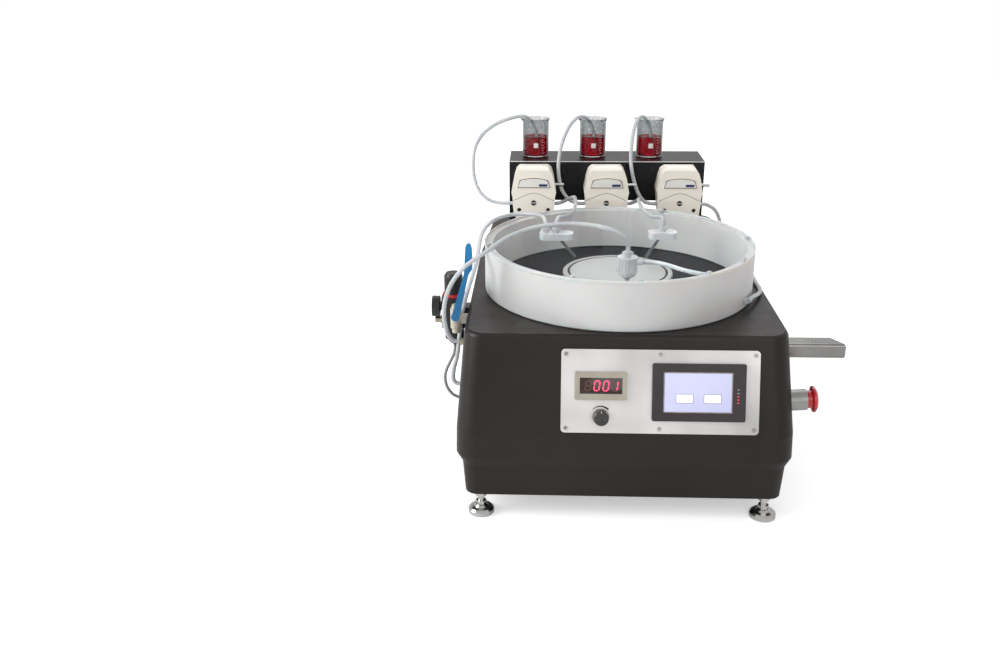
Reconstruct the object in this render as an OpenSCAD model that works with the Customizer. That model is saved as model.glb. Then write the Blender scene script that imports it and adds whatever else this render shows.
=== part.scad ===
// Three-channel spin coater: a black moulded housing on four levelling feet, a milky splash ring
// with a clear lid over the chuck, three spray nozzles, and a rear shelf with three peristaltic
// pumps and their beakers. Every place is measured from the datum: the floor under the middle of
// the housing's front shoulder. at_machine() moves that datum to its place in the part's frame.

/* [Placing] */
// X of the machine's centre line, which centres the whole outline
machine_x = -24; // [-60:1:60]
// Y of the front shoulder, which centres the whole outline
machine_y = -350; // [-400:1:-300]

/* [Housing] */
// Half width of the housing at the shoulder
shoulder_half = 243; // [225:1:250]
// Height of the shoulder, where the front face starts to slope
shoulder_z = 280; // [272:1:290]
// Height of the flat top above the shoulder
shoulder_round = 6; // [3:1:10]
// How much wider than the shoulder the crest is, on each side
crest_flare = 11; // [4:1:18]
// Height of the crest, the crease across the front
crest_z = 140; // [125:1:150]
// How far the crest stands in front of the shoulder
crest_out = 41; // [34:1:48]
// How much wider than the crest the belt is, on each side
belt_flare = 0.5; // [0:0.5:8]
// Height of the belt
belt_z = 102; // [98:1:112]
// How far the belt stands in front of the shoulder
belt_out = 46; // [38:1:50]
// How far the tuck lies inside the belt, on each side
tuck_inset = 9.5; // [5:0.5:14]
// Height of the tuck
tuck_z = 88; // [76:1:94]
// How far the bottom edge lies inside the tuck, on each side
base_inset = 4; // [2:0.5:10]
// Height of the bottom edge above the floor
base_z = 38; // [34:1:44]
// How far the bottom edge stands in front of the shoulder
base_out = 39; // [34:1:44]
// Length of the flat top from front to back
top_length = 730; // [700:1:760]
// Corner radius of the top, seen from above
top_corner = 34; // [24:1:44]
// Corner radius at the back of the housing's top, in plan
rear_corner = 60; // [40:1:80]
// How much each side of the top comes in towards its back
rear_taper = 12; // [0:1:24]
// Corner radius of the bottom edge, seen from above
base_corner = 20; // [14:1:30]
// Thickness of the housing's top and walls
wall = 5; // [3:0.5:7]
// Thickness of the base plate
plate_t = 3; // [2:0.5:5]

/* [Levelling feet] */
// Radius of a foot pad
pad_r = 20; // [16:0.5:24]
// Height of a foot pad's rim
pad_h = 11; // [8:0.5:14]
// Radius of the feet's studs
stud_r = 5; // [4:0.5:6]
// Distance of the feet from the housing's side edges
foot_side_inset = 24; // [20:1:40]
// Distance of the front feet from the housing's bottom edge
foot_inset = 14; // [14:1:40]

/* [Bowl] */
// Distance of the spin axis behind the shoulder
axis_y = 234; // [230:1:240]
// Outer radius of the splash ring
ring_r = 222; // [210:1:226]
// Wall of the splash ring
ring_wall = 13; // [9:0.5:16]
// Height of the splash ring
ring_h = 75; // [60:1:90]
// Thickness of the lid
lid_t = 5; // [3:0.5:8]
// Radius of a lid screw's shank
lid_screw_r = 2; // [1.5:0.25:2.5]
// Thickness of the deck tray in the bowl
tray_t = 8; // [5:0.5:11]
// How far the cover lifts off, for its nozzles to clear the chuck
cover_travel = 120; // [80:1:160]

/* [Chuck and spindle] */
// Radius of the chuck
chuck_r = 91.5; // [80:0.5:110]
// Thickness of the chuck
chuck_t = 11; // [8:0.5:14]
// Gap under the chuck
chuck_gap = 5.5; // [4:0.5:10]
// Radius of the seal groove in the chuck's face
seal_r = 82; // [70:0.5:86]
// Radius of the seal's cord
seal_cord_r = 1.5; // [1:0.25:2]
// Radius of the chuck's hub
hub_r = 22; // [18:0.5:26]
// Radius of the spindle shaft
shaft_r = 10; // [8:0.5:12]
// Radius of the vacuum passage through the shaft
vacuum_r = 2.5; // [1.5:0.25:4]
// Outer radius of the spindle bearings
bearing_r = 21; // [19:0.5:24]
// Width of a spindle bearing
bearing_w = 12; // [9:0.5:15]
// Outer radius of the bearing housing
bearing_housing_r = 30; // [27:0.5:36]
// Outer radius of the spin motor
motor_r = 48; // [42:1:60]
// Height of the spin motor
motor_h = 60; // [45:1:70]

/* [Front panel] */
// Width of the aluminium panel
panel_w = 292; // [270:1:310]
// Height of the panel along the sloping face
panel_h = 125; // [115:1:132]
// Thickness of the panel
panel_t = 3; // [2:0.5:5]
// X of the panel's middle
panel_x = 50; // [30:1:70]
// Height of the panel's middle above the floor
panel_z = 206.5; // [200:0.5:214]
// Width of the speed meter's bezel
meter_w = 77; // [70:1:84]
// Height of the speed meter's bezel
meter_h = 42; // [38:1:48]
// X of the speed meter, from the panel's middle
meter_x = -87; // [-92:1:-80]
// Height of the speed meter on the panel, from its middle
meter_up = 8.5; // [4:0.5:14]
// Width of the touch panel's bezel
touch_w = 137; // [130:1:150]
// Height of the touch panel's bezel
touch_h = 86; // [80:1:92]
// X of the touch panel, from the panel's middle
touch_x = 57; // [54:0.5:64]
// Radius of the speed knob
knob_r = 12.5; // [10:0.5:15]
// Length of the speed knob
knob_l = 15; // [12:0.5:20]
// Height of the knob on the panel, from its middle
knob_up = -38.5; // [-42:0.5:-34]

/* [Emergency stop] */
// Distance of the stop button behind the shoulder
stop_y = 20; // [14:1:60]
// Height of the stop button
stop_z = 176; // [165:1:200]
// Radius of the stop button's head
stop_r = 20; // [17:0.5:22]
// Radius of its collar
collar_r = 16; // [15:0.5:18]
// Length of its collar
collar_l = 25; // [16:0.5:30]
// Travel of the stop button
stop_travel = 5; // [3:0.5:7]

/* [Exhaust duct] */
// Distance of the duct behind the shoulder, to its front face
duct_y = 100; // [90:1:200]
// Depth of the duct from front to back
duct_d = 34; // [28:1:44]
// Height of the duct
duct_h = 24; // [20:1:30]
// Height of the duct's underside above the floor
duct_z = 212; // [196:1:220]
// X of the duct's mouth
duct_end = 352; // [320:1:370]
// How much shorter the duct is at the back of its mitred mouth
duct_mitre = 20; // [0:1:30]

/* [Shelf] */
// X of the shelf's middle
shelf_x = -3; // [-8:1:6]
// Width of the shelf
shelf_w = 382; // [360:1:400]
// Distance of the shelf's front behind the shoulder
shelf_y = 582; // [575:1:600]
// Depth of the shelf
shelf_d = 104; // [90:1:120]
// Height of the shelf's top above the floor
shelf_z = 426; // [410:1:440]
// Thickness of its folded sheet
sheet_t = 3; // [2:0.5:4]
// Height of the front plate that carries the pumps
apron_h = 78; // [70:1:90]

/* [Pumps] */
// Number of channels, each with a pump and a beaker
channels = 3; // [3:1:3]
// Distance between two pumps
pump_pitch = 140; // [120:1:150]
// X of the middle pump
pump_x = -5; // [-10:1:5]
// Half width of a pump head at its widest line
pump_half = 43; // [40:0.5:46]
// Depth of a pump head from front to back
pump_d = 62; // [54:1:66]
// Height of a pump rotor's axis above the floor
rotor_z = 357.5; // [350:0.5:362]
// Radius that the rollers reach
roller_reach = 23.5; // [20:0.5:25]
// Radius of a roller
roller_r = 6; // [4:0.5:7]
// How far a pump's jaw lifts
jaw_travel = 8; // [5:0.5:12]
// Length of a pump's lever beyond its pivot
lever_l = 30; // [24:1:40]
// Width of a pump motor
motor_w = 42; // [38:1:46]

/* [Beakers] */
// Outer radius of a beaker
beaker_r = 26; // [22:0.5:28]
// Height of a beaker
beaker_h = 74; // [60:1:80]
// Wall of a beaker
beaker_wall = 1.6; // [1.2:0.2:2.4]
// Distance of the beakers behind the shoulder
beaker_y = 641; // [630:1:650]

/* [Air supply] */
// Gap between the left wall and the regulator's body
regulator_standoff = 6.2; // [4:0.2:12]
// Distance of the regulator behind the shoulder
regulator_y = 152; // [148:1:180]
// Width of the regulator's body
regulator_w = 38; // [34:1:42]
// Height of the regulator's middle, where the gauge is
regulator_z = 270; // [262:1:276]
// Radius of the pressure gauge
gauge_r = 17; // [14:0.5:20]
// Distance of the shut-off valve's axis from the left wall
valve_standoff = 18.8; // [14:0.2:24]
// Distance of the valve behind the shoulder
valve_y = 108; // [104:1:112]
// Height of the valve's stem
valve_z = 278; // [270:1:280]
// Length of the valve's lever
valve_lever_l = 121; // [90:1:130]

/* [Tubes] */
// Radius of the pump and gas tubes
tube_r = 3.5; // [2.5:0.25:4]
// Radius of the bowl's drain hose
hose_r = 2.5; // [2:0.25:3.5]

/* [Fits] */
// Gap between pieces that only rest on each other
rest_gap = 0.3; // [0.2:0.05:0.5]
// Radial clearance of a pin or shaft that turns or slides
running_gap = 0.05; // [0.02:0.01:0.1]
// Clearance round a piece that passes through a hole
loose_gap = 0.4; // [0.2:0.1:0.8]

/* [Hidden] */

$fn = 48;
EPS = 0.01;
crest_half = shoulder_half + crest_flare;
belt_half = crest_half + belt_flare;
tuck_half = belt_half - tuck_inset;
base_half = tuck_half - base_inset;
foot_x = base_half - foot_side_inset;
taper_y = 0.6 * top_length;
top_z = shoulder_z + shoulder_round;
ceiling_z = top_z - wall;
base_front = -base_out;
base_back = top_length + 6;
foot_front = base_front + foot_inset;
foot_back = base_back - foot_inset;
crest_back = 18;
back_tilt = atan(crest_back / (shoulder_z - crest_z));
face_tilt = atan(crest_out / (shoulder_z - crest_z));
side_tilt = atan((crest_half - shoulder_half) / (shoulder_z - crest_z));
BLACK = [0.13, 0.13, 0.14];
STEEL = [0.75, 0.76, 0.78];
MILKY = [0.93, 0.94, 0.95];
CLEAR = [0.85, 0.92, 0.95, 0.35];
IVORY = [0.95, 0.92, 0.84];
TUBE = [0.86, 0.88, 0.89, 0.8];

// Bowl, from the top of the housing upwards
ring_z = top_z + rest_gap;
lid_z = ring_z + ring_h;
lid_top = lid_z + lid_t;
ring_in = ring_r - ring_wall;
tray_r = ring_in - loose_gap;
tray_top = top_z + rest_gap + tray_t;
lid_screw_ring = ring_r - ring_wall / 2;
lid_screw_turns = [5, 65, 125, 188, 248, 275, 305, 331];

// Spindle, from the chuck downwards
chuck_z = tray_top + chuck_gap;
chuck_top = chuck_z + chuck_t;
hub_z = top_z;
shaft_top = chuck_z + 4;
collar_z = hub_z - 4;
bearing_top_z = ceiling_z - 16;
bearing_low_z = bearing_top_z - 64;
motor_top = bearing_low_z - bearing_w - 4;
motor_z = motor_top - motor_h;
shaft_z = motor_z - 34;

// Front panel
panel_y = -crest_out * (shoulder_z - panel_z) / (shoulder_z - crest_z);
panel_screw_x = panel_w / 2 - 7;
panel_screw_y = panel_h / 2 - 7;
panel_screw_places = [
    for (x = [-1, 0, 1]) for (y = [-1, 1]) [x * panel_screw_x, y * panel_screw_y]
];
meter_hole = [meter_w - 8, meter_h - 7];
touch_hole = [touch_w - 10, touch_h - 10];
bezel_t = 4;
bushing_r = 5;
knob_shaft_r = 3;

// Stop button
stop_stem_r = 7;
stop_bore_r = 11;
stop_skirt_r = 13.6;

// Power inlet in the back wall
inlet_x = 134;
inlet_z = 174;
inlet_w = 27;
inlet_h = 47;

// Half width of the housing's side at a height between the belt and the shoulder
function side_x(z) =
    z > crest_z
    ? shoulder_half + (shoulder_z - z) * (crest_half - shoulder_half) / (shoulder_z - crest_z)
    : crest_half + (crest_z - z) * (belt_half - crest_half) / (crest_z - belt_z);

// Regulator's ports and the valve, off the left wall
regulator_x = -side_x(regulator_z) - regulator_standoff - regulator_w / 2;
valve_x = -side_x(valve_z) - valve_standoff;
gauge_z = regulator_z + 6;
inlet_port_z = regulator_z - 17;

// Pumps and shelf
pump_back = shelf_y - rest_gap;
pump_front = pump_back - pump_d;
head_up = 69.5;
head_down = 36;
pump_top = rotor_z + head_up;
pump_bottom = rotor_z - head_down;
seam_side = rotor_z + 2;
seam_top = rotor_z + 19;
seam_gap = 1.1;
rotor_room = roller_reach + 3.5;
rotor_shaft_r = 5;
face_t = 6;
lever_x = 28;
lever_z = rotor_z + 31.5;
lever_pin_r = 2;
lever_y = pump_front + 20;
port_z = rotor_z - 8;
port_y = pump_front + 30;
guide_x = 0.79 * pump_half;
guide_back = 14;
guide_r = 2.5;
guide_l = 22;
shelf_left = shelf_x - shelf_w / 2;
apron_z = shelf_z - apron_h;
pump_places = [for (i = [0:channels - 1]) pump_x + (i - 1) * pump_pitch];
beaker_places = [-143, -29, 84];

// Nozzles on the lid, from the datum
nozzle_place = [9, 150];
rear_nozzle_places = [[-103, 290], [80, 300]];
rear_nozzle_sizes = [[58, 28], [48, 28]];
nozzle_boss = 24;
glass_r = 2.55;
glass_l = 45;
block_h = 11;
stem_r = 5;
stem_top = lid_top + 5;
union_angle = -30;
union_z = ring_z + 14;
union_r = 4.5;
elbow_r = 5.5;
elbow_out = elbow_r;
elbow_l = 10;
elbow_in = 5;
elbow_up = elbow_r + 0.7;

// Ports in the left wall, as x of the mouth, y, z and radius
function port_x(z, reach) = -side_x(z) - reach;
wall_ports = [
    [port_x(241, 8.9), 85, 241, 5.5], [port_x(150, 4.8), 126, 150, 5.5],
    [port_x(113, 3.6), regulator_y, 113, 4.5]
];

// Ends of the tubes, each straight off its fitting
function off_wall(i, away) = [wall_ports[i][0] - away, wall_ports[i][1], wall_ports[i][2]];
function left_port(i) = [pump_places[i] - pump_half + 8, port_y, port_z];
function right_port(i) = [pump_places[i] + pump_half - 8, port_y, port_z];
function over_stem(p, away = rest_gap) = [p[0], p[1], stem_top + away];
function round_axis(r, along, z) = [
    r * cos(union_angle) - along * sin(union_angle),
    axis_y + r * sin(union_angle) + along * cos(union_angle), z
];

// Routes of the tubes, chosen by hand along the way each tube takes
DIP_1 = [
    [-139, 641, 440], [-141, 640, 465], [-147, 637.5, 486], [-155.5, 632, 500],
    [-166, 625, 506], [-180, 616, 507], [-203, 601, 503], [-226, 588, 494], [-247, 576, 478],
    [-261, 566, 453], [-264, 560, 425],
    [-261, 556, 395], [-250, 553, 370], [-232, 551, 355], [-212, 550, 350],
    [-195, port_y, port_z], left_port(0)
];
DIP_2 = [
    [-23, 641, 440], [-26, 640, 465], [-32, 637, 486], [-40.5, 631, 500], [-51, 623, 506],
    [-64, 612, 504], [-78, 597, 490], [-90, 580, 465], [-97, 566, 435], [-97, 558, 405],
    [-90, 553, 375], [-76, 551, 357], [-63, 550, 350.5], [-52, port_y, port_z], left_port(1)
];
DIP_3 = [
    [90, 641, 440], [87, 640, 465], [82, 637, 486], [74.5, 631, 500], [66, 623.5, 506],
    [57, 612, 503], [49, 598, 486], [44, 582, 458], [43, 568, 428], [48, 558, 398], [58, 552, 370],
    [69, 550, 355], [79, 550, 350.5], [88, port_y, port_z], left_port(2)
];
FEED_1 = [
    right_port(0), [-100, port_y, port_z], [-90, 549, 352], [-79, 543, 359], [-71, 530, 366],
    [-67, 512, 371], [-66, 490, 373], [-66, 455, 373], [-69, 420, 373], [-76, 380, 374],
    [-86, 345, 377], [-94, 322, 382], [-99, 306, 384.5], [-102, 294, 383],
    over_stem(rear_nozzle_places[0], 7), over_stem(rear_nozzle_places[0])
];
FEED_2 = [
    right_port(1), [40, port_y, port_z], [48, 548, 352], [55, 540, 358], [57, 524, 365],
    [55, 500, 370], [53, 470, 372], [54, 430, 372], [60, 390, 373], [68, 350, 376],
    [74, 330, 381], [78, 314, 384], [80, 303.5, 382.5], over_stem(rear_nozzle_places[1], 7),
    over_stem(rear_nozzle_places[1])
];
FEED_3 = [
    right_port(2), [180, port_y, port_z], [191, 551, 348], [202, 556, 342], [212, 560, 333],
    [219, 561, 320], [222, 553, 306], [223, 536, 295.5], [225, 510, 291], [227, 470, 290],
    [230, 420, 290], [233, 360, 290], [235, 300, 290], [234, 250, 290], [234, 215, 290.5],
    [230, 190, 292], [221, 167, 295], [212, 149, 298.5],
    round_axis(ring_r + elbow_out, elbow_l + 6, union_z),
    round_axis(ring_r + elbow_out, elbow_l + rest_gap, union_z)
];
NOZZLE_FEED = [
    round_axis(ring_in - elbow_in, 0, union_z + elbow_up + rest_gap),
    round_axis(ring_in - elbow_in, 0, union_z + elbow_up + 5), [174, 129, 320],
    [166, 121, 330], [154, 112, 338.5], [140, 105.5, 344], [124, 102, 348], [106, 104, 350.5],
    [88, 115, 352], [71, 131.5, 353], [56.4, 144, 352.8], [48.6, 148.2, 352.4],
    [nozzle_place[0] + nozzle_boss + 5, nozzle_place[1], lid_z - 9],
    [nozzle_place[0] + nozzle_boss + rest_gap, nozzle_place[1], lid_z - 9]
];
GAS_FRONT = [
    off_wall(0, rest_gap), off_wall(0, 5), [-267, 84.5, 244], [-274, 83.5, 256],
    [-278, 83, 276], [-278, 83, 298],
    [-273, 83, 320], [-263, 83, 342], [-247, 84, 362], [-230, 88, 375], [-208, 104, 386],
    [-186, 130, 395], [-162, 152, 401], [-134, 166, 406], [-104, 170, 409], [-74, 166, 411],
    [-48, 158, 411], [-26, 149, 409], [-8, 145, 403], [3, 147, 393],
    over_stem(nozzle_place, 10), over_stem(nozzle_place)
];
GAS_REAR = [
    off_wall(1, rest_gap), off_wall(1, 5), [-268.5, 126, 153], [-271, 126, 161],
    [-269, 126, 178], [-263, 126, 202],
    [-257, 126, 248], [-252, 126, 282], [-244, 128, 312], [-236, 136, 336], [-231, 152, 352],
    [-230, 180, 361], [-230, 215, 366], [-229, 250, 369], [-225, 285, 371], [-216, 318, 373],
    [-200, 344, 375], [-178, 355, 377], [-156, 350, 379.5], [-138, 334, 382],
    [-127, 315, 384],
    [-123, 300, 382.5], over_stem(rear_gas_place(), 7), over_stem(rear_gas_place())
];
DRAIN = [
    [regulator_x, regulator_y, regulator_z - 60 - rest_gap], [regulator_x, 152, 203],
    [-271, 152, 192], [-277, 152, 179], [-284, 152, 164], [-287, 152, 149], [-284, 152, 132],
    [-276, 152, 119.5], [-268, 152, 114.5], off_wall(2, 5), off_wall(2, rest_gap)
];

module at_machine() {
    translate([machine_x, machine_y, 0]) children();
}

// ---- shared shapes ----

// The back of the housing at a height between the crest and the shoulder
function back_y(z) = top_length + (shoulder_z - z) * crest_back / (shoulder_z - crest_z);

// A thin slab with round corners, one level of the housing's lower part
module level(half, front, back, corner, z) {
    for (x = [-1, 1]) for (y = [front + corner, back - corner]) {
        translate([x * (half - corner), y, z]) cylinder(r = corner, h = EPS, $fn = 32);
    }
}

// One level of the housing's upper part: drawn in at the back, less an inset all round
module top_level(half, front, back, z, taper, inset = 0) {
    for (x = [-1, 1]) {
        for (p = [
            [half, front + top_corner, top_corner], [half, taper_y, top_corner],
            [half - taper, back - rear_corner, rear_corner]
        ]) {
            translate([x * (p[0] - p[2]), p[1], z]) cylinder(r = p[2] - inset, h = EPS, $fn = 48);
        }
    }
}

// A rounded rectangle, extruded
module rounded_plate(w, h, t, r) {
    linear_extrude(t) rounded_outline(w, h, r);
}

module rounded_outline(w, h, r) {
    square([w, h - 2 * r], center = true);
    square([w - 2 * r, h], center = true);
    for (x = [-1, 1]) for (y = [-1, 1]) {
        translate([x * (w / 2 - r), y * (h / 2 - r)]) circle(r, $fn = 32);
    }
}

// The plane of the sloping front: X across, Y up the slope, Z out of the face
module on_face(x, up) {
    translate([panel_x, panel_y, panel_z]) rotate([90 - face_tilt, 0, 0]) translate([x, up, 0])
        children();
}

// The right wall at the stop button: Z out of the wall
module on_side(y, z) {
    translate([side_x(z), y, z]) rotate([0, 90 - side_tilt, 0]) children();
}

// The back wall at the power inlet: Z out of the wall
module on_back(x, z) {
    translate([x, back_y(z), z]) rotate([back_tilt - 90, 0, 0]) children();
}

// Lies on the spin axis
module on_axis() {
    translate([0, axis_y, 0]) children();
}

module tube_ring(outer, inner, h) {
    difference() {
        cylinder(r = outer, h = h);
        translate([0, 0, -1]) cylinder(r = inner, h = h + 2);
    }
}

// A plate parallel to the sloping left wall, between two heights, out to x
module wall_pad(x, z0, z1, depth) {
    rotate([90, 0, 0]) linear_extrude(depth, center = true) polygon([
        [x, z0], [-side_x(z0) - rest_gap, z0], [-side_x(z1) - rest_gap, z1], [x, z1]
    ]);
}

// ---- cords ----

function unit(v) = v / norm(v);
function smooth(p, i, t) =
    let (a = p[max(i - 1, 0)], b = p[i], c = p[i + 1], d = p[min(i + 2, len(p) - 1)])
    0.5 * (2 * b + (c - a) * t + (2 * a - 5 * b + 4 * c - d) * t * t
        + (3 * b - a - 3 * c + d) * t * t * t);
function heading(p, i) = unit(p[min(i + 1, len(p) - 1)] - p[max(i - 1, 0)]);
function across(t, v) = unit(v - (v * t) * t);
function frames(p, i = 0, v = [0.3, 0.2, 1]) =
    i == len(p) ? [] :
    let (t = heading(p, i), n = across(t, v))
    concat([[n, cross(t, n)]], frames(p, i + 1, n));

// A round tube swept along points, with flat ends
module swept(p, r, sides) {
    f = frames(p, 0, across(heading(p, 0), abs(heading(p, 0)[2]) > 0.8 ? [1, 0, 0] : [0, 0, 1]));
    n = len(p);
    points = [
        for (i = [0:n - 1]) for (k = [0:sides - 1])
            p[i] + r * (cos(360 * k / sides) * f[i][0] + sin(360 * k / sides) * f[i][1])
    ];
    skin = [
        for (i = [0:n - 2]) for (k = [0:sides - 1]) [
            i * sides + k, (i + 1) * sides + k,
            (i + 1) * sides + (k + 1) % sides, i * sides + (k + 1) % sides
        ]
    ];
    start = [for (k = [0:sides - 1]) k];
    finish = [for (k = [0:sides - 1]) n * sides - 1 - k];
    polyhedron(points, concat([start, finish], skin));
}

// ---- housing and feet ----

module housing_outside() {
    hull() {
        level(base_half, base_front, base_back, base_corner, base_z);
        level(tuck_half, base_front - 2, base_back + 4, base_corner + 4, tuck_z);
    }
    hull() {
        level(tuck_half, base_front - 2, base_back + 4, base_corner + 4, tuck_z);
        top_level(belt_half, -belt_out, top_length + crest_back + 2, belt_z, 0);
    }
    hull() {
        top_level(belt_half, -belt_out, top_length + crest_back + 2, belt_z, 0);
        top_level(crest_half, -crest_out, top_length + crest_back, crest_z, rear_taper / 2);
    }
    hull() {
        top_level(crest_half, -crest_out, top_length + crest_back, crest_z, rear_taper / 2);
        top_level(shoulder_half, 0, top_length, shoulder_z, rear_taper);
    }
    hull() {
        top_level(shoulder_half, 0, top_length, shoulder_z, rear_taper);
        top_level(shoulder_half, 0, top_length, top_z - 2, rear_taper, 2);
        top_level(shoulder_half, 0, top_length, top_z - EPS, rear_taper, 6);
    }
}

module housing_inside() {
    hull() {
        level(base_half - wall, base_front + wall, base_back - wall, base_corner - wall,
            base_z - 1);
        level(tuck_half - wall, base_front + wall, base_back - wall, base_corner - wall, tuck_z);
    }
    hull() {
        top_level(tuck_half, base_front, base_back, tuck_z, 0, wall);
        top_level(crest_half, -crest_out, top_length + crest_back, crest_z, rear_taper / 2, wall);
        top_level(shoulder_half - 1, 1, top_length - 1, ceiling_z - EPS, rear_taper, wall);
    }
}

module housing() {
    at_machine() color(BLACK) difference() {
        housing_outside();
        housing_inside();
        on_axis() translate([0, 0, ceiling_z - 1]) cylinder(r = hub_r + 2, h = wall + 2);
        on_face(0, 0) {
            for (p = panel_screw_places) translate([p[0], p[1], -20]) cylinder(r = 1.7, h = 40);
            translate([meter_x, meter_up, 0]) cube([meter_hole[0], meter_hole[1], 60], true);
            translate([touch_x, 0, 0]) cube([touch_hole[0], touch_hole[1], 60], true);
            translate([meter_x + 0.5, knob_up, -20]) cylinder(r = 9, h = 40);
        }
        on_side(stop_y, stop_z) translate([0, 0, -15]) cylinder(r = stop_bore_r + loose_gap, h = 30);
        translate([shoulder_half - 15, duct_y - loose_gap, duct_z - loose_gap])
            cube([40, duct_d + 2 * loose_gap, duct_h + 2 * loose_gap]);
        for (x = [-150:20:-10]) translate([x, base_back - 20, 170]) cube([8, 60, 60]);
        on_back(inlet_x, inlet_z) cube([inlet_w + 0.8, inlet_h + 0.8, 40], true);
    }
}

module base_plate() {
    at_machine() color(STEEL) difference() {
        translate([0, (base_front + base_back) / 2, base_z])
            rounded_plate(2 * (base_half - wall) - 1, base_back - base_front - 2 * wall - 1,
                plate_t, base_corner - wall - 0.5);
        for (x = [-1, 1]) for (y = [foot_front, foot_back]) {
            translate([x * foot_x, y, base_z - 1]) cylinder(r = stud_r + 0.2, h = plate_t + 2);
        }
    }
}

module at_feet() {
    for (x = [-1, 1]) for (y = [foot_front, foot_back]) translate([x * foot_x, y, 0]) children();
}

module foot_pads() {
    at_machine() color(STEEL) at_feet() rotate_extrude() polygon([
        [0, 0], [pad_r - 1, 0], [pad_r, 1], [pad_r, pad_h - 4], [pad_r - 3, pad_h - 1],
        [stud_r + 6, pad_h], [stud_r + 3, pad_h + 3], [stud_r + running_gap, pad_h + 3],
        [stud_r + running_gap, 3], [0, 3]
    ]);
}

module foot_studs() {
    at_machine() color(STEEL) at_feet() {
        translate([0, 0, 3]) cylinder(r = stud_r, h = base_z + 14 - 3);
        translate([0, 0, pad_h + 4]) difference() {
            cylinder(r = stud_r + 3.5, h = 6, $fn = 6);
            translate([0, 0, -1]) cylinder(r = stud_r + 0.02, h = 8);
        }
        for (z = [base_z - 8, base_z + plate_t]) translate([0, 0, z]) difference() {
            cylinder(r = stud_r + 4.5, h = 8, $fn = 6);
            translate([0, 0, -1]) cylinder(r = stud_r + 0.02, h = 10);
        }
    }
}

// ---- bowl ----

module deck_tray() {
    at_machine() color([0.2, 0.21, 0.26]) on_axis() translate([0, 0, top_z + rest_gap])
        rotate_extrude() polygon([
            [hub_r + 4, 0], [tray_r, 0], [tray_r, tray_t - 1], [tray_r - 1, tray_t],
            [tray_r - 4, tray_t], [tray_r - 7, tray_t - 2], [hub_r + 14, tray_t - 2],
            [hub_r + 10, tray_t + 2], [hub_r + 4, tray_t + 2]
        ]);
}

module at_lid_screws() {
    on_axis() for (a = lid_screw_turns) {
        rotate([0, 0, a]) translate([lid_screw_ring, 0, 0]) children();
    }
}

module at_union() {
    on_axis() rotate([0, 0, union_angle]) translate([ring_in, 0, union_z]) rotate([0, 90, 0])
        children();
}

module splash_ring() {
    at_machine() color(MILKY) difference() {
        on_axis() translate([0, 0, ring_z]) rotate_extrude($fn = 120) polygon([
            [ring_in, 0], [ring_r - 2, 0], [ring_r, 2], [ring_r, ring_h - 1],
            [ring_r - 1, ring_h], [ring_in, ring_h]
        ]);
        at_lid_screws() translate([0, 0, lid_z - 16]) cylinder(r = lid_screw_r + 0.1, h = 20);
        at_union() translate([0, 0, -5]) cylinder(r = union_r + 0.1, h = ring_wall + 10);
    }
}

module lid() {
    at_machine() color(CLEAR) difference() {
        on_axis() translate([0, 0, lid_z]) cylinder(r = ring_r, h = lid_t, $fn = 120);
        at_lid_screws() translate([0, 0, lid_z - 1]) cylinder(r = lid_screw_r + 0.3, h = lid_t + 2);
        for (p = [nozzle_place, each rear_nozzle_places, rear_gas_place()])
            translate([p[0], p[1], lid_z - 1]) cylinder(r = stem_r + 0.1, h = lid_t + 2);
    }
}

// The rear left nozzle has a second stem, for its gas tube
function rear_gas_place() = rear_nozzle_places[0] - [18, 0];

module lid_screws() {
    at_machine() color(STEEL) at_lid_screws() difference() {
        union() {
            translate([0, 0, lid_z - 14]) cylinder(r = lid_screw_r, h = lid_t + 14.5);
            translate([0, 0, lid_top]) cylinder(r = 2 * lid_screw_r, h = 1.6);
            translate([0, 0, lid_top + 1.6]) cylinder(r1 = 2 * lid_screw_r, r2 = 2.6, h = 0.8);
        }
        translate([0, 0, lid_top + 1]) cylinder(r = 1.3, h = 3, $fn = 6);
    }
}

module front_nozzle() {
    at_machine() color(MILKY) translate([nozzle_place[0], nozzle_place[1], 0]) difference() {
        union() {
            translate([0, 0, lid_z - 26]) difference() {
                cylinder(r = 16, h = 25.8);
                for (a = [0:20:340]) rotate([0, 0, a]) translate([16.6, 0, 3]) cylinder(r = 1.6, h = 20);
            }
            translate([0, 0, lid_z - 31]) cylinder(r = 13, h = 5.2);
            translate([0, 0, lid_z - 35]) cylinder(r1 = 7, r2 = 11, h = 4.2);
            translate([0, 0, chuck_top + 4]) cylinder(r = 4.5, h = lid_z - 34 - chuck_top - 4);
            translate([0, 0, lid_z - 1]) cylinder(r = stem_r, h = stem_top - lid_z + 1);
            translate([0, 0, lid_top + 0.2]) cylinder(r = 9, h = 4, $fn = 6);
            translate([10, 0, lid_z - 9]) rotate([0, 90, 0]) cylinder(r = 5, h = nozzle_boss - 10);
        }
        translate([0, 0, chuck_top]) cylinder(r = 1, h = 20);
    }
}

module rear_nozzles() {
    at_machine() color(MILKY) for (i = [0, 1]) {
        translate([rear_nozzle_places[i][0], rear_nozzle_places[i][1], 0]) difference() {
            union() {
                translate([0, 0, lid_z - block_h - 0.2])
                    rounded_plate(rear_nozzle_sizes[i][0], rear_nozzle_sizes[i][1], block_h, 10);
                for (x = i == 0 ? [0, -18] : [0]) translate([x, 0, lid_z - 1]) {
                    cylinder(r = stem_r, h = stem_top - lid_z + 1);
                    translate([0, 0, lid_t + 1.2]) cylinder(r = 8, h = 3.8, $fn = 6);
                }
            }
            glass_tube_place(i) translate([0, 0, -18]) cylinder(r = glass_r + running_gap, h = 30);
        }
    }
}

// Each glass tube leans from its block towards the spin axis
module glass_tube_place(i) {
    p = rear_nozzle_places[i];
    translate([0, 0, lid_z - 10])
        rotate([0, 0, atan2(axis_y - p[1], -p[0])]) translate([6, 0, 0]) rotate([0, 132, 0]) children();
}

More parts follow.
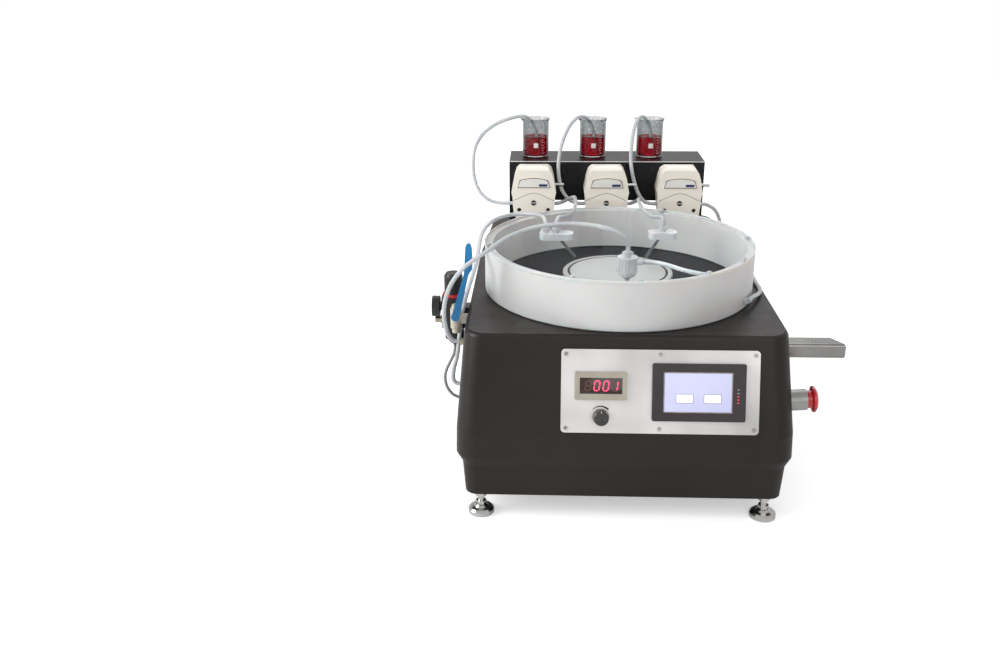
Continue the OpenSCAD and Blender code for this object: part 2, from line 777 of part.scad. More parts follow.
module nozzle_tubes() {
    at_machine() color(CLEAR) for (i = [0, 1]) {
        translate([rear_nozzle_places[i][0], rear_nozzle_places[i][1], 0])
            glass_tube_place(i) difference() {
                translate([0, 0, -3]) cylinder(r = glass_r, h = glass_l);
                translate([0, 0, -4]) cylinder(r = glass_r - 1.15, h = glass_l + 2);
            }
    }
}

module ring_union() {
    at_machine() color(MILKY) {
        at_union() {
            translate([0, 0, -3]) cylinder(r = union_r, h = ring_wall + 5);
            translate([0, 0, ring_wall + 0.2]) cylinder(r = elbow_r, h = 4);
            translate([0, 0, -4.2]) cylinder(r = elbow_r, h = 4);
        }
        on_axis() rotate([0, 0, union_angle]) translate([ring_r + elbow_out, 0, union_z])
            rotate([-90, 0, 0]) cylinder(r = elbow_r - 1, h = elbow_l);
        on_axis() rotate([0, 0, union_angle]) translate([ring_in - elbow_in, 0, union_z])
            cylinder(r = elbow_r - 1, h = elbow_up);
    }
}

// ---- spindle ----

module chuck() {
    at_machine() color([0.8, 0.8, 0.8]) on_axis() rotate_extrude($fn = 120) polygon([
        [vacuum_r + 0.5, shaft_top + 0.3], [vacuum_r + 0.5, chuck_top],
        [seal_r - 2, chuck_top], [seal_r - 2, chuck_top - 3], [seal_r + 2, chuck_top - 3],
        [seal_r + 2, chuck_top], [chuck_r - 1, chuck_top], [chuck_r, chuck_top - 1],
        [chuck_r, chuck_z + 4], [chuck_r - 4, chuck_z], [hub_r, chuck_z], [hub_r, hub_z],
        [shaft_r + running_gap, hub_z], [shaft_r + running_gap, shaft_top + 0.3]
    ]);
}

module chuck_seal() {
    at_machine() color([0.12, 0.12, 0.13]) on_axis() rotate_extrude($fn = 120)
        translate([seal_r, chuck_top - 3 + seal_cord_r]) circle(seal_cord_r, $fn = 16);
}

module spindle_shaft() {
    at_machine() color(STEEL) on_axis() {
        difference() {
            union() {
                translate([0, 0, shaft_z]) cylinder(r = shaft_r, h = shaft_top - shaft_z);
                translate([0, 0, collar_z]) cylinder(r = hub_r - 4, h = 4);
            }
            translate([0, 0, shaft_z - 1]) cylinder(r = vacuum_r, h = shaft_top - shaft_z + 2);
        }
        translate([0, 0, motor_z + 8]) tube_ring(motor_r - 18, shaft_r + 0.02, motor_h - 16);
    }
}

module spindle_bearings() {
    at_machine() color(STEEL) on_axis() for (z = [bearing_top_z, bearing_low_z]) {
        translate([0, 0, z - bearing_w]) rotate_extrude() polygon([
            [shaft_r + running_gap, 0], [bearing_r, 0], [bearing_r, bearing_w],
            [bearing_r - 3, bearing_w], [bearing_r - 4, bearing_w - 1],
            [shaft_r + 4, bearing_w - 1], [shaft_r + 3, bearing_w],
            [shaft_r + running_gap, bearing_w]
        ]);
    }
}

module bearing_housing() {
    at_machine() color(STEEL) on_axis() rotate_extrude() polygon([
        [bearing_r + 0.02, motor_top], [bearing_housing_r, motor_top],
        [bearing_housing_r, ceiling_z - 8], [bearing_housing_r + 26, ceiling_z - 8],
        [bearing_housing_r + 26, ceiling_z - rest_gap], [bearing_r + 0.02, ceiling_z - rest_gap],
        [bearing_r + 0.02, bearing_top_z - bearing_w - 0.02],
        [bearing_r - 3, bearing_top_z - bearing_w - 0.02],
        [bearing_r - 3, bearing_low_z + 0.02], [bearing_r + 0.02, bearing_low_z + 0.02]
    ]);
}

module spin_motor() {
    at_machine() color([0.3, 0.3, 0.32]) on_axis() rotate_extrude() polygon([
        [shaft_r + 1, motor_z], [motor_r - 2, motor_z], [motor_r, motor_z + 2],
        [motor_r, motor_top - 0.02], [shaft_r + 1, motor_top - 0.02], [shaft_r + 1, motor_top - 4],
        [motor_r - 17, motor_top - 4], [motor_r - 17, motor_z + 4], [shaft_r + 1, motor_z + 4]
    ]);
}

module vacuum_union() {
    at_machine() color([0.72, 0.58, 0.3]) on_axis() {
        difference() {
            translate([0, 0, shaft_z - 6]) cylinder(r = shaft_r + 8, h = motor_z - shaft_z + 5.98);
            translate([0, 0, shaft_z - 1]) cylinder(r = shaft_r + running_gap, h = motor_h);
            translate([0, 0, shaft_z - 7]) cylinder(r = vacuum_r, h = 20);
        }
    }
}

// ---- front panel ----

module front_panel() {
    at_machine() color([0.78, 0.79, 0.8]) on_face(0, 0) translate([0, 0, 0.2]) difference() {
        union() {
            rounded_plate(panel_w, panel_h, panel_t, 6);
            translate([meter_x + 0.5, knob_up, -6]) cylinder(r = bushing_r, h = 6 + panel_t + 4);
        }
        for (p = panel_screw_places) translate([p[0], p[1], -1]) cylinder(r = 1.7, h = 9);
        translate([meter_x, meter_up, 0]) cube([meter_hole[0], meter_hole[1], 20], true);
        translate([touch_x, 0, 0]) cube([touch_hole[0], touch_hole[1], 20], true);
        translate([meter_x + 0.5, knob_up, -10]) cylinder(r = knob_shaft_r + running_gap, h = 30);
    }
}

module panel_screws() {
    at_machine() color(STEEL) on_face(0, 0) for (p = panel_screw_places) {
        translate([p[0], p[1], 0.2 + panel_t]) difference() {
            union() {
                translate([0, 0, -12]) cylinder(r = 1.5, h = 12.5);
                cylinder(r1 = 3.2, r2 = 2.4, h = 1.8);
            }
            translate([0, 0, 0.8]) cylinder(r = 1.1, h = 3, $fn = 6);
        }
    }
}

module speed_meter() {
    at_machine() color([0.78, 0.74, 0.64]) on_face(meter_x, meter_up)
        translate([0, 0, 0.2 + panel_t]) difference() {
            union() {
                rounded_plate(meter_w, meter_h, bezel_t, 2);
                translate([0, 0, -20]) cube([meter_hole[0] - 1, meter_hole[1] - 1, 40.2], true);
            }
            translate([0, 0, bezel_t - 1.2]) rounded_plate(63, 24, 4, 1);
        }
}

module touch_panel() {
    at_machine() color([0.2, 0.2, 0.22]) on_face(touch_x, 0)
        translate([0, 0, 0.2 + panel_t]) difference() {
            union() {
                rounded_plate(touch_w, touch_h, bezel_t, 3);
                translate([0, 0, -15]) cube([touch_hole[0] - 1, touch_hole[1] - 1, 30.2], true);
            }
            translate([-1.5, 0, bezel_t - 1.2]) rounded_plate(102, 61, 4, 1);
        }
}

module speed_knob() {
    at_machine() color(BLACK) on_face(meter_x + 0.5, knob_up)
        translate([0, 0, 0.2 + panel_t + 1]) difference() {
            union() {
                cylinder(r1 = knob_r, r2 = knob_r - 1.5, h = knob_l - 1);
                translate([0, 0, knob_l - 1]) cylinder(r1 = knob_r - 1.5, r2 = knob_r - 2.5, h = 1);
                translate([0, 0, -14]) cylinder(r = knob_shaft_r, h = 24);
            }
            translate([0, 0, -1]) tube_ring(bushing_r + 1, knob_shaft_r, 6);
            translate([-0.6, knob_r - 6, knob_l - 1.5]) cube([1.2, 8, 3]);
            for (a = [15:15:345]) rotate([0, 0, 90 + a]) translate([knob_r + 0.6, 0, 1])
                cylinder(r = 1.2, h = knob_l + 2);
        }
}

// ---- emergency stop and duct ----

module stop_collar() {
    at_machine() color([0.75, 0.75, 0.72]) on_side(stop_y, stop_z) difference() {
        union() {
            translate([0, 0, rest_gap]) cylinder(r = collar_r, h = collar_l);
            translate([0, 0, -22]) cylinder(r = stop_bore_r, h = 24);
            translate([0, 0, -40]) cylinder(r = stop_bore_r + 3, h = 30);
        }
        translate([0, 0, 4]) cylinder(r = stop_skirt_r + running_gap, h = collar_l);
        translate([0, 0, -30]) cylinder(r = stop_stem_r + running_gap, h = 60);
    }
}

module stop_button() {
    at_machine() color([0.8, 0.1, 0.12]) on_side(stop_y, stop_z) translate([0, 0, rest_gap])
        rotate_extrude() polygon([
            [0, -20], [stop_stem_r, -20], [stop_stem_r, collar_l - 6], [stop_skirt_r, collar_l - 6],
            [stop_skirt_r, collar_l + 2 + stop_travel], [stop_r, collar_l + 4 + stop_travel],
            [stop_r, collar_l + 7 + stop_travel], [stop_r - 4, collar_l + 10 + stop_travel],
            [stop_r - 10, collar_l + 11.5 + stop_travel], [0, collar_l + 12 + stop_travel]
        ]);
}

module duct_outline(shrink) {
    w = duct_d - 2 * shrink;
    h = duct_h - 2 * shrink;
    rounded_outline(w, h, 5 - shrink);
}

module exhaust_duct() {
    at_machine() color(STEEL) difference() {
        translate([shoulder_half - 9, duct_y + duct_d / 2, duct_z + duct_h / 2])
            rotate([90, 0, 90]) linear_extrude(duct_end - shoulder_half + 9) difference() {
                duct_outline(0);
                duct_outline(1.5);
            }
        translate([0, 0, duct_z - 1]) linear_extrude(duct_h + 2) polygon([
            [duct_end, duct_y - EPS], [duct_end - duct_mitre, duct_y + duct_d + EPS],
            [duct_end + 10, duct_y + duct_d + EPS], [duct_end + 10, duct_y - EPS]
        ]);
    }
}

// ---- shelf and pumps ----

module shelf_frame() {
    at_machine() color(BLACK) difference() {
        union() {
            translate([shelf_left, shelf_y, shelf_z - sheet_t]) cube([shelf_w, shelf_d, sheet_t]);
            translate([shelf_left, shelf_y, apron_z]) cube([shelf_w, sheet_t, apron_h]);
            for (side = [0, 1]) translate([shelf_left + side * (shelf_w - sheet_t), shelf_y, 0]) {
                translate([0, 0, top_z + rest_gap]) cube([sheet_t, shelf_d, shelf_z - top_z - rest_gap]);
                translate([side * (sheet_t - 14), 0, top_z + rest_gap])
                    cube([14, sheet_t, shelf_z - top_z - rest_gap]);
                translate([side * (sheet_t - 20), 0, top_z + rest_gap]) cube([20, shelf_d, sheet_t]);
            }
        }
        for (x = pump_places) translate([x, shelf_y - 1, rotor_z]) rotate([-90, 0, 0])
            cylinder(r = 12, h = sheet_t + 2);
    }
}

module at_pump(i) {
    translate([pump_places[i], 0, 0]) children();
}

// A point of a pump head, as shares of its half width and of its height above the rotor
function head_at(w, h) = [w * pump_half, rotor_z + h * (h > 0 ? head_up : head_down)];

// The outline of a pump head seen from the front, X across and Y up
module head_outline() {
    half = [
        head_at(0.279, 0.996), head_at(0.558, 0.986), head_at(0.628, 0.971), head_at(0.791, 0.835),
        head_at(0.884, 0.662), head_at(0.942, 0.46), head_at(1, 0.288), head_at(0.953, 0.158),
        head_at(0.93, -0.222), head_at(0.884, -0.667), head_at(0.744, -0.917), head_at(0.558, -1)
    ];
    n = len(half);
    polygon([
        head_at(0, 1), each half, for (i = [1:n]) [-half[n - i][0], half[n - i][1]]
    ]);
}

// What lies above the seam between the jaw and the body, grown by a gap
module above_seam(gap) {
    far = pump_half + 17;
    near = 0.279 * pump_half;
    polygon([
        [-far, seam_side - 4 + gap], [-pump_half, seam_side + gap], [-near, seam_top - 3 + gap],
        [0, seam_top + gap], [near, seam_top - 3 + gap], [pump_half, seam_side + gap],
        [far, seam_side - 4 + gap], [far, pump_top + 20], [-far, pump_top + 20]
    ]);
}

// The outline of a pump head seen from the side, Y across and Z up: its top is crowned
module head_side() {
    polygon([
        [pump_front - 2, pump_bottom - 1], [pump_back + 1, pump_bottom - 1],
        [pump_back + 1, pump_top - 12.5], [pump_back - 14, pump_top - 4],
        [pump_back - 30, pump_top - 0.5], [pump_front + 16, pump_top],
        [pump_front + 5, pump_top - 2.5], [pump_front, pump_top - 6.5],
        [pump_front - 2, pump_top - 6.5]
    ]);
}

module across_head() {
    translate([-pump_half - 1, 0, 0]) rotate([90, 0, 90]) linear_extrude(2 * pump_half + 2)
        children();
}

module from_front(y, depth) {
    translate([0, y + depth, 0]) rotate([90, 0, 0]) linear_extrude(depth) children();
}

module rotor_cavity() {
    translate([0, pump_front + face_t, rotor_z]) rotate([-90, 0, 0])
        cylinder(r = rotor_room, h = pump_d - 2 * face_t);
}

module pump_bodies() {
    at_machine() color(IVORY) for (i = [0:channels - 1]) at_pump(i) difference() {
        from_front(pump_front, pump_d) difference() {
            head_outline();
            above_seam(0);
        }
        rotor_cavity();
        translate([0, pump_front - 1, rotor_z]) rotate([-90, 0, 0])
            cylinder(r = rotor_shaft_r + running_gap, h = pump_d + 2);
        for (x = [-1, 1]) {
            translate([x * (pump_half + 2), port_y, port_z]) rotate([0, x * -90, 0])
                cylinder(r = tube_r + 0.3, h = 20);
            translate([x * 0.65 * pump_half, pump_front - 1, rotor_z - 14]) rotate([-90, 0, 0])
                cylinder(r = 4, h = 5);
            translate([x * guide_x, pump_back - guide_back, seam_side - guide_l + 4])
                cylinder(r = guide_r + running_gap, h = head_up);
        }
    }
}

module pump_jaw(i) {
    at_machine() color(IVORY) at_pump(i) {
        difference() {
            union() {
                intersection() {
                    from_front(pump_front, pump_d) intersection() {
                        head_outline();
                        above_seam(seam_gap);
                    }
                    across_head() head_side();
                }
                from_front(pump_front - 1.2, 2) polygon([
                    head_at(-0.744, 0.417), head_at(0.744, 0.417), head_at(0.605, 0.633),
                    head_at(0.326, 0.691), head_at(0, 0.712), head_at(-0.326, 0.691),
                    head_at(-0.605, 0.633)
                ]);
            }
            rotor_cavity();
            translate([lever_x, lever_y, lever_z]) rotate([-90, 0, 0])
                cylinder(r = lever_pin_r + running_gap, h = 30, center = true);
            translate([lever_x - 8, lever_y - 5, lever_z - 8]) cube([60, 10, 80]);
        }
        for (x = [-1, 1]) translate([x * guide_x, pump_back - guide_back, seam_side + 8 - guide_l])
            cylinder(r = guide_r, h = guide_l);
    }
}

module pump_rotor(i) {
    at_machine() color(STEEL) at_pump(i) translate([0, pump_front, rotor_z])
        rotate([-90, 0, 0]) difference() {
            union() {
                translate([0, 0, -0.8]) cylinder(r = rotor_shaft_r, h = pump_d + 14);
                for (z = [face_t + 6, pump_d - face_t - 10]) translate([0, 0, z])
                    cylinder(r = roller_reach - 1, h = 4);
                for (a = [45:90:315]) rotate([0, 0, a]) translate([roller_reach - roller_r, 0, face_t + 6])
                    cylinder(r = roller_r, h = pump_d - 2 * face_t - 12);
            }
            translate([-rotor_shaft_r - 1, -0.8, -2]) cube([2 * rotor_shaft_r + 2, 1.6, 3]);
        }
}

module pump_lever(i) {
    at_machine() color(STEEL) at_pump(i) translate([lever_x, lever_y, lever_z]) {
        rotate([-90, 0, 0]) cylinder(r = lever_pin_r, h = 24, center = true);
        rotate([-90, 0, 0]) cylinder(r = 5, h = 8, center = true);
        rotate([0, 90, 0]) cylinder(r = 3, h = lever_l);
    }
}

module pump_motors() {
    at_machine() color([0.35, 0.36, 0.38]) for (i = [0:channels - 1]) at_pump(i) {
        translate([0, shelf_y + sheet_t, rotor_z]) rotate([-90, 0, 0]) difference() {
            union() {
                translate([0, 0, rest_gap]) linear_extrude(44) rounded_outline(motor_w, motor_w, 4);
                cylinder(r = 11, h = 10);
            }
            translate([0, 0, -1]) cylinder(r = rotor_shaft_r + running_gap, h = 16);
        }
    }
}

// ---- beakers ----

module beaker(i) {
    at_machine() color(CLEAR) translate([beaker_places[i], beaker_y, shelf_z + rest_gap])
        rotate_extrude($fn = 72) polygon([
            [0, 0], [beaker_r - 3, 0], [beaker_r - 0.8, 0.8], [beaker_r, 3],
            [beaker_r, beaker_h - 4], [beaker_r + 1.6, beaker_h - 0.8], [beaker_r + 1.2, beaker_h],
            [beaker_r - 0.2, beaker_h - 1], [beaker_r - beaker_wall, beaker_h - 5],
            [beaker_r - beaker_wall, 4], [beaker_r - beaker_wall - 2, 2], [0, 2]
        ]);
}

// ---- air supply on the left wall ----

module regulator_body() {
    at_machine() color([0.16, 0.16, 0.17]) translate([0, regulator_y, 0]) {
        translate([regulator_x, 0, 0]) difference() {
            union() {
                translate([0, 0, regulator_z - 26])
                    rounded_plate(regulator_w, regulator_w, 51, 6);
                translate([0, 0, regulator_z - 48]) cylinder(r = 15.5, h = 23);
                translate([0, 0, regulator_z - 56]) cylinder(r1 = 8, r2 = 14, h = 8);
                translate([0, 0, regulator_z - 60]) cylinder(r = 3, h = 5);
                translate([0, 0, regulator_z + 24]) cylinder(r = 10, h = 10);
            }
            for (z = [gauge_z, inlet_port_z]) translate([-regulator_w / 2 - 1, 0, z])
                rotate([0, 90, 0]) cylinder(r = 4.1, h = 8);
        }
        wall_pad(regulator_x + regulator_w / 2 - 1, regulator_z - 12, regulator_z + 8, 26);
    }
}

module lock_ring() {
    at_machine() color([0.85, 0.2, 0.2]) translate([regulator_x, regulator_y, regulator_z + 25.2])
        tube_ring(17, 10.1, 4.8);
}

module regulator_knob() {
    at_machine() color(BLACK) translate([regulator_x, regulator_y, regulator_z + 30.4])
        difference() {
            union() {
                cylinder(r = 15, h = 28);
                translate([0, 0, 28]) cylinder(r1 = 15, r2 = 12, h = 5);
            }
            translate([0, 0, -1]) cylinder(r = 10 + running_gap, h = 9);
            for (a = [0:30:330]) rotate([0, 0, a]) translate([16, 0, 4]) cylinder(r = 2, h = 20);
        }
}

module pressure_gauge() {
    at_machine() color(BLACK) translate([regulator_x - regulator_w / 2, regulator_y, gauge_z])
        rotate([0, -90, 0]) difference() {
            union() {
                translate([0, 0, -6]) cylinder(r = 4, h = 9);
                translate([0, 0, 2]) cylinder(r = 8, h = 3);
                translate([0, 0, 4]) cylinder(r = gauge_r, h = 12);
            }
            translate([0, 0, 14.5]) cylinder(r = gauge_r - 1.5, h = 3);
        }
}

module valve_body() {
    at_machine() color([0.88, 0.85, 0.76]) translate([0, valve_y, 0]) difference() {
        union() {
            translate([valve_x, 0, valve_z - 22]) cylinder(r = 9, h = 32);
            translate([valve_x, 0, valve_z - 30]) cylinder(r = 6.5, h = 9);
            translate([valve_x, 0, valve_z + 9]) cylinder(r = 6.5, h = 7);
            translate([valve_x, 0, valve_z]) rotate([90, 0, 0]) cylinder(r = 7, h = 11);
            wall_pad(valve_x + 4, valve_z - 14, valve_z, 10);
        }
        translate([valve_x, 0, valve_z]) rotate([90, 0, 0]) cylinder(r = 3 + running_gap, h = 20);
        translate([valve_x, 0, valve_z + 10]) cylinder(r = 3.1, h = 8);
        translate([valve_x, 0, valve_z - 31]) cylinder(r = 3.1, h = 8);
    }
}

module valve_lever() {
    neck = 0.66 * valve_lever_l;
    at_machine() color([0.15, 0.5, 0.75]) translate([valve_x, valve_y - 11.3, valve_z]) {
        rotate([90, 0, 0]) linear_extrude(4) {
            circle(6.5);
            polygon([
                [-6, 1], [15, neck - 8], [18, valve_lever_l - 6], [20, valve_lever_l - 1.5],
                [23, valve_lever_l], [26, valve_lever_l - 1.5], [28, valve_lever_l - 8],
                [29, neck + 12], [28, neck], [22, neck - 10], [6, -2]
            ]);
        }
        translate([0, 10.3, 0]) rotate([90, 0, 0]) cylinder(r = 3, h = 11);
    }
}

// Push-in fittings: one for each tube that enters the left wall, and the regulator's inlet
module wall_fittings() {
    at_machine() color(STEEL) {
        for (f = wall_ports) translate([f[0], f[1], f[2]]) rotate([0, 90, 0])
            cylinder(r = f[3], h = -f[0] - side_x(f[2]) - 0.8);
        translate([regulator_x - regulator_w / 2, regulator_y, inlet_port_z])
            rotate([0, -90, 0]) difference() {
                union() {
                    translate([0, 0, -6]) cylinder(r = 4, h = 10);
                    translate([0, 0, 0.2]) cylinder(r = 7.5, h = 3, $fn = 6);
                    translate([0, 0, 3]) cylinder(r = 5, h = 9);
                }
                translate([0, 0, -7]) cylinder(r = 2, h = 30);
            }
    }
}

module power_inlet() {
    at_machine() color(BLACK) on_back(inlet_x, inlet_z) difference() {
        union() {
            translate([0, 0, 0.3]) rounded_plate(inlet_w + 11, inlet_h + 11, 3, 3);
            translate([0, 0, -11]) cube([inlet_w, inlet_h, 25], true);
        }
        translate([0, 8, -10]) rounded_plate(21, 15, 16, 3);
    }
}

// ---- tubes ----

module cord(route, r) {
    at_machine() color(TUBE) swept(route, r, 8);
}

housing();
base_plate();
foot_pads();
foot_studs();
deck_tray();
splash_ring();
lid();
lid_screws();
front_nozzle();
rear_nozzles();
nozzle_tubes();
ring_union();
chuck();
chuck_seal();
spindle_shaft();
spindle_bearings();
bearing_housing();
spin_motor();
vacuum_union();
front_panel();
panel_screws();
speed_meter();
speed_knob();
touch_panel();
stop_collar();
stop_button();
exhaust_duct();
shelf_frame();
pump_bodies();
pump_jaw(0);  // pump_jaw_1
pump_jaw(1);  // pump_jaw_2
pump_jaw(2);  // pump_jaw_3
pump_rotor(0);  // pump_rotor_1
pump_rotor(1);  // pump_rotor_2
pump_rotor(2);  // pump_rotor_3
pump_lever(0);  // pump_lever_1
pump_lever(1);  // pump_lever_2
pump_lever(2);  // pump_lever_3
pump_motors();
beaker(0);  // beaker_1
beaker(1);  // beaker_2
beaker(2);  // beaker_3
regulator_body();
lock_ring();
regulator_knob();
pressure_gauge();
valve_body();
valve_lever();
wall_fittings();
power_inlet();
cord(DIP_1, tube_r);  // dip_tube_1
cord(DIP_2, tube_r);  // dip_tube_2
cord(DIP_3, tube_r);  // dip_tube_3
cord(FEED_1, tube_r);  // feed_tube_1
cord(FEED_2, tube_r);  // feed_tube_2
cord(FEED_3, tube_r);  // feed_tube_3
cord(NOZZLE_FEED, tube_r);  // nozzle_feed
cord(GAS_FRONT, tube_r);  // gas_tube_front
cord(GAS_REAR, tube_r);  // gas_tube_rear
cord(DRAIN, hose_r);  // drain_hose
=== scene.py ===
"""Three-channel spin coater: looks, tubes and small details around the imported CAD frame."""
import math

import bmesh
import bpy
from mathutils import Matrix, Vector


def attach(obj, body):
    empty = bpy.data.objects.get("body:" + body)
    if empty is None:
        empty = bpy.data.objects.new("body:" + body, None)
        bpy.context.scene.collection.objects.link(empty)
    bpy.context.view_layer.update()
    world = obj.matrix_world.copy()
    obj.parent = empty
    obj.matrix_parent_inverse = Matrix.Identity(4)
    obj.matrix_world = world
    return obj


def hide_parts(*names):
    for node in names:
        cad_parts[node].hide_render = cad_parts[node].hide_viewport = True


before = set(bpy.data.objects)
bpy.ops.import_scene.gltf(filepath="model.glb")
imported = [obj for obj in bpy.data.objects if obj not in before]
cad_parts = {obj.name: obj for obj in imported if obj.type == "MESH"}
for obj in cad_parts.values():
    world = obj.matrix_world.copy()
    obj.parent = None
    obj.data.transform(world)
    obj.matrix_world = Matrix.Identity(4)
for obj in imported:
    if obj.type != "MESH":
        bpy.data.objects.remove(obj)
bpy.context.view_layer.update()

MM = 0.001
# The part's source measures every place from its datum; this is the datum's place in the frame
DATUM = Vector((-0.024, -0.350, 0.0))


def at(x, y, z):
    """A place given in the source's millimetres, in the frame's metres."""
    return DATUM + Vector((x, y, z)) * MM


# ---------------------------------------------------------------- camera

# Fitted to the photo's outline: the focal length in pixels of a frame 1000 wide, the place in the
# source's millimetres, and the angles in degrees
FOCAL_PX = 1010.29
FRAME_PX = 1000
SENSOR = 36.0
CAMERA_AT = (-120.65, -1393.39, 830.43)
TILT, YAW, ROLL = (math.radians(a) for a in (21.22, 2.731, -0.397))


def make_camera():
    level = math.cos(TILT)
    forward = Vector((-math.sin(YAW) * level, math.cos(YAW) * level, -math.sin(TILT)))
    right = Vector((math.cos(YAW), math.sin(YAW), 0.0))
    up = right.cross(forward)
    across = math.cos(ROLL) * right + math.sin(ROLL) * up
    upward = -math.sin(ROLL) * right + math.cos(ROLL) * up
    data = bpy.data.cameras.new("camera")
    data.sensor_width = SENSOR
    data.lens = FOCAL_PX / FRAME_PX * SENSOR
    data.clip_start, data.clip_end = 0.05, 50
    cam = bpy.data.objects.new("camera", data)
    bpy.context.scene.collection.objects.link(cam)
    turn = Matrix((across, upward, -forward)).transposed().to_4x4()
    cam.matrix_world = Matrix.Translation(at(*CAMERA_AT)) @ turn
    bpy.context.scene.camera = cam


make_camera()
bpy.context.scene.view_settings.view_transform = "Standard"

# ---------------------------------------------------------------- materials


class Nodes:
    """A short way to write a node tree."""

    def __init__(self, name):
        self.mat = bpy.data.materials.new(name)
        self.mat.use_nodes = True
        self.tree = self.mat.node_tree
        self.shader = self.tree.nodes["Principled BSDF"]
        self.output = self.tree.nodes["Material Output"]
        self.place = self.tree.nodes.new("ShaderNodeTexCoord").outputs["Object"]

    def new(self, kind, **values):
        n = self.tree.nodes.new(kind)
        for key, value in values.items():
            setattr(n, key, value)
        return n

    def link(self, a, b):
        self.tree.links.new(a, b)

    def stretched(self, scale):
        m = self.new("ShaderNodeMapping")
        m.inputs["Scale"].default_value = scale
        self.link(self.place, m.inputs["Vector"])
        return m.outputs["Vector"]

    def noise(self, scale, detail=3.0, where=None):
        n = self.new("ShaderNodeTexNoise")
        n.inputs["Scale"].default_value = scale
        n.inputs["Detail"].default_value = detail
        n.inputs["Roughness"].default_value = 0.55
        self.link(where or self.place, n.inputs["Vector"])
        return n.outputs["Fac"]

    def spread(self, value, low, high, from_low=0.3, from_high=0.7):
        n = self.new("ShaderNodeMapRange")
        n.inputs["From Min"].default_value = from_low
        n.inputs["From Max"].default_value = from_high
        n.inputs["To Min"].default_value = low
        n.inputs["To Max"].default_value = high
        self.link(value, n.inputs["Value"])
        return n.outputs["Result"]

    def blend(self, value, a, b):
        n = self.new("ShaderNodeMix", data_type="RGBA")
        self.link(value, n.inputs["Factor"])
        for socket, colour in ((n.inputs[6], a), (n.inputs[7], b)):
            if isinstance(colour, bpy.types.NodeSocket):
                self.link(colour, socket)
            else:
                socket.default_value = (*colour, 1)
        return n.outputs[2]

    def bump(self, height, strength, distance):
        n = self.new("ShaderNodeBump")
        n.inputs["Strength"].default_value = strength
        n.inputs["Distance"].default_value = distance
        self.link(height, n.inputs["Height"])
        self.link(n.outputs["Normal"], self.shader.inputs["Normal"])

    def set(self, **values):
        for key, value in values.items():
            self.shader.inputs[key.replace("_", " ")].default_value = value


def lin(r, g, b):
    """An sRGB colour of 0 to 255 as the linear values that shaders take."""
    def one(c):
        c /= 255
        return c / 12.92 if c <= 0.04045 else ((c + 0.055) / 1.055) ** 2.4
    return one(r), one(g), one(b)


def surface(name, a, b, rough, patch, grain, bump, stretch=None, **sockets):
    """A moulded, painted or machined surface: two close colours in soft patches, roughness that
    varies a little, and a fine grain."""
    m = Nodes(name)
    where = m.stretched(stretch) if stretch else m.place
    colour = m.blend(m.spread(m.noise(patch), 0, 1), lin(*a), lin(*b))
    m.link(colour, m.shader.inputs["Base Color"])
    m.link(m.spread(m.noise(patch * 6, 4, where), *rough), m.shader.inputs["Roughness"])
    m.bump(m.noise(grain, 2, where), bump, 0.0006)
    m.set(**sockets)
    return m.mat


def lets_lamps_through(m, tint):
    """The shader as the eye sees it, with lamp light passing through to what lies behind."""
    path = m.new("ShaderNodeLightPath")
    clear = m.new("ShaderNodeBsdfTransparent")
    clear.inputs["Color"].default_value = (*tint, 1)
    mix = m.new("ShaderNodeMixShader")
    m.link(path.outputs["Is Shadow Ray"], mix.inputs["Fac"])
    m.link(m.shader.outputs["BSDF"], mix.inputs[1])
    m.link(clear.outputs["BSDF"], mix.inputs[2])
    m.link(mix.outputs["Shader"], m.output.inputs["Surface"])


def glass(name, colour, ior, rough, tint, rim=None, mottle=260):
    """Clear stuff; a rim colour makes it darker and mottled where it is seen edge on, as thick
    walls are."""
    m = Nodes(name)
    m.set(Base_Color=(*colour, 1), IOR=ior, Transmission_Weight=1.0)
    if rim:
        edge = m.new("ShaderNodeLayerWeight")
        edge.inputs["Blend"].default_value = 0.35
        shaded = [c * 0.74 for c in colour]
        mottled = m.blend(m.spread(m.noise(mottle, 3), 0, 1, 0.38, 0.62), colour, shaded)
        m.link(m.blend(edge.outputs["Facing"], mottled, rim), m.shader.inputs["Base Color"])
    m.link(m.spread(m.noise(14, 3), *rough), m.shader.inputs["Roughness"])
    lets_lamps_through(m, tint)
    return m.mat


def glowing(name, colour, strength):
    """A lit surface, a little uneven."""
    m = Nodes(name)
    m.set(Base_Color=(*colour, 1), Roughness=0.25, Emission_Color=(*colour, 1))
    glow = m.spread(m.noise(60), strength * 0.94, strength * 1.06)
    m.link(glow, m.shader.inputs["Emission Strength"])
    return m.mat


def tubing(name, a, b):
    """Soft translucent plastic."""
    return surface(name, a, b, (0.25, 0.4), 25, 700, 0.04, Subsurface_Weight=0.3,
                   Subsurface_Scale=0.004, Transmission_Weight=0.25)


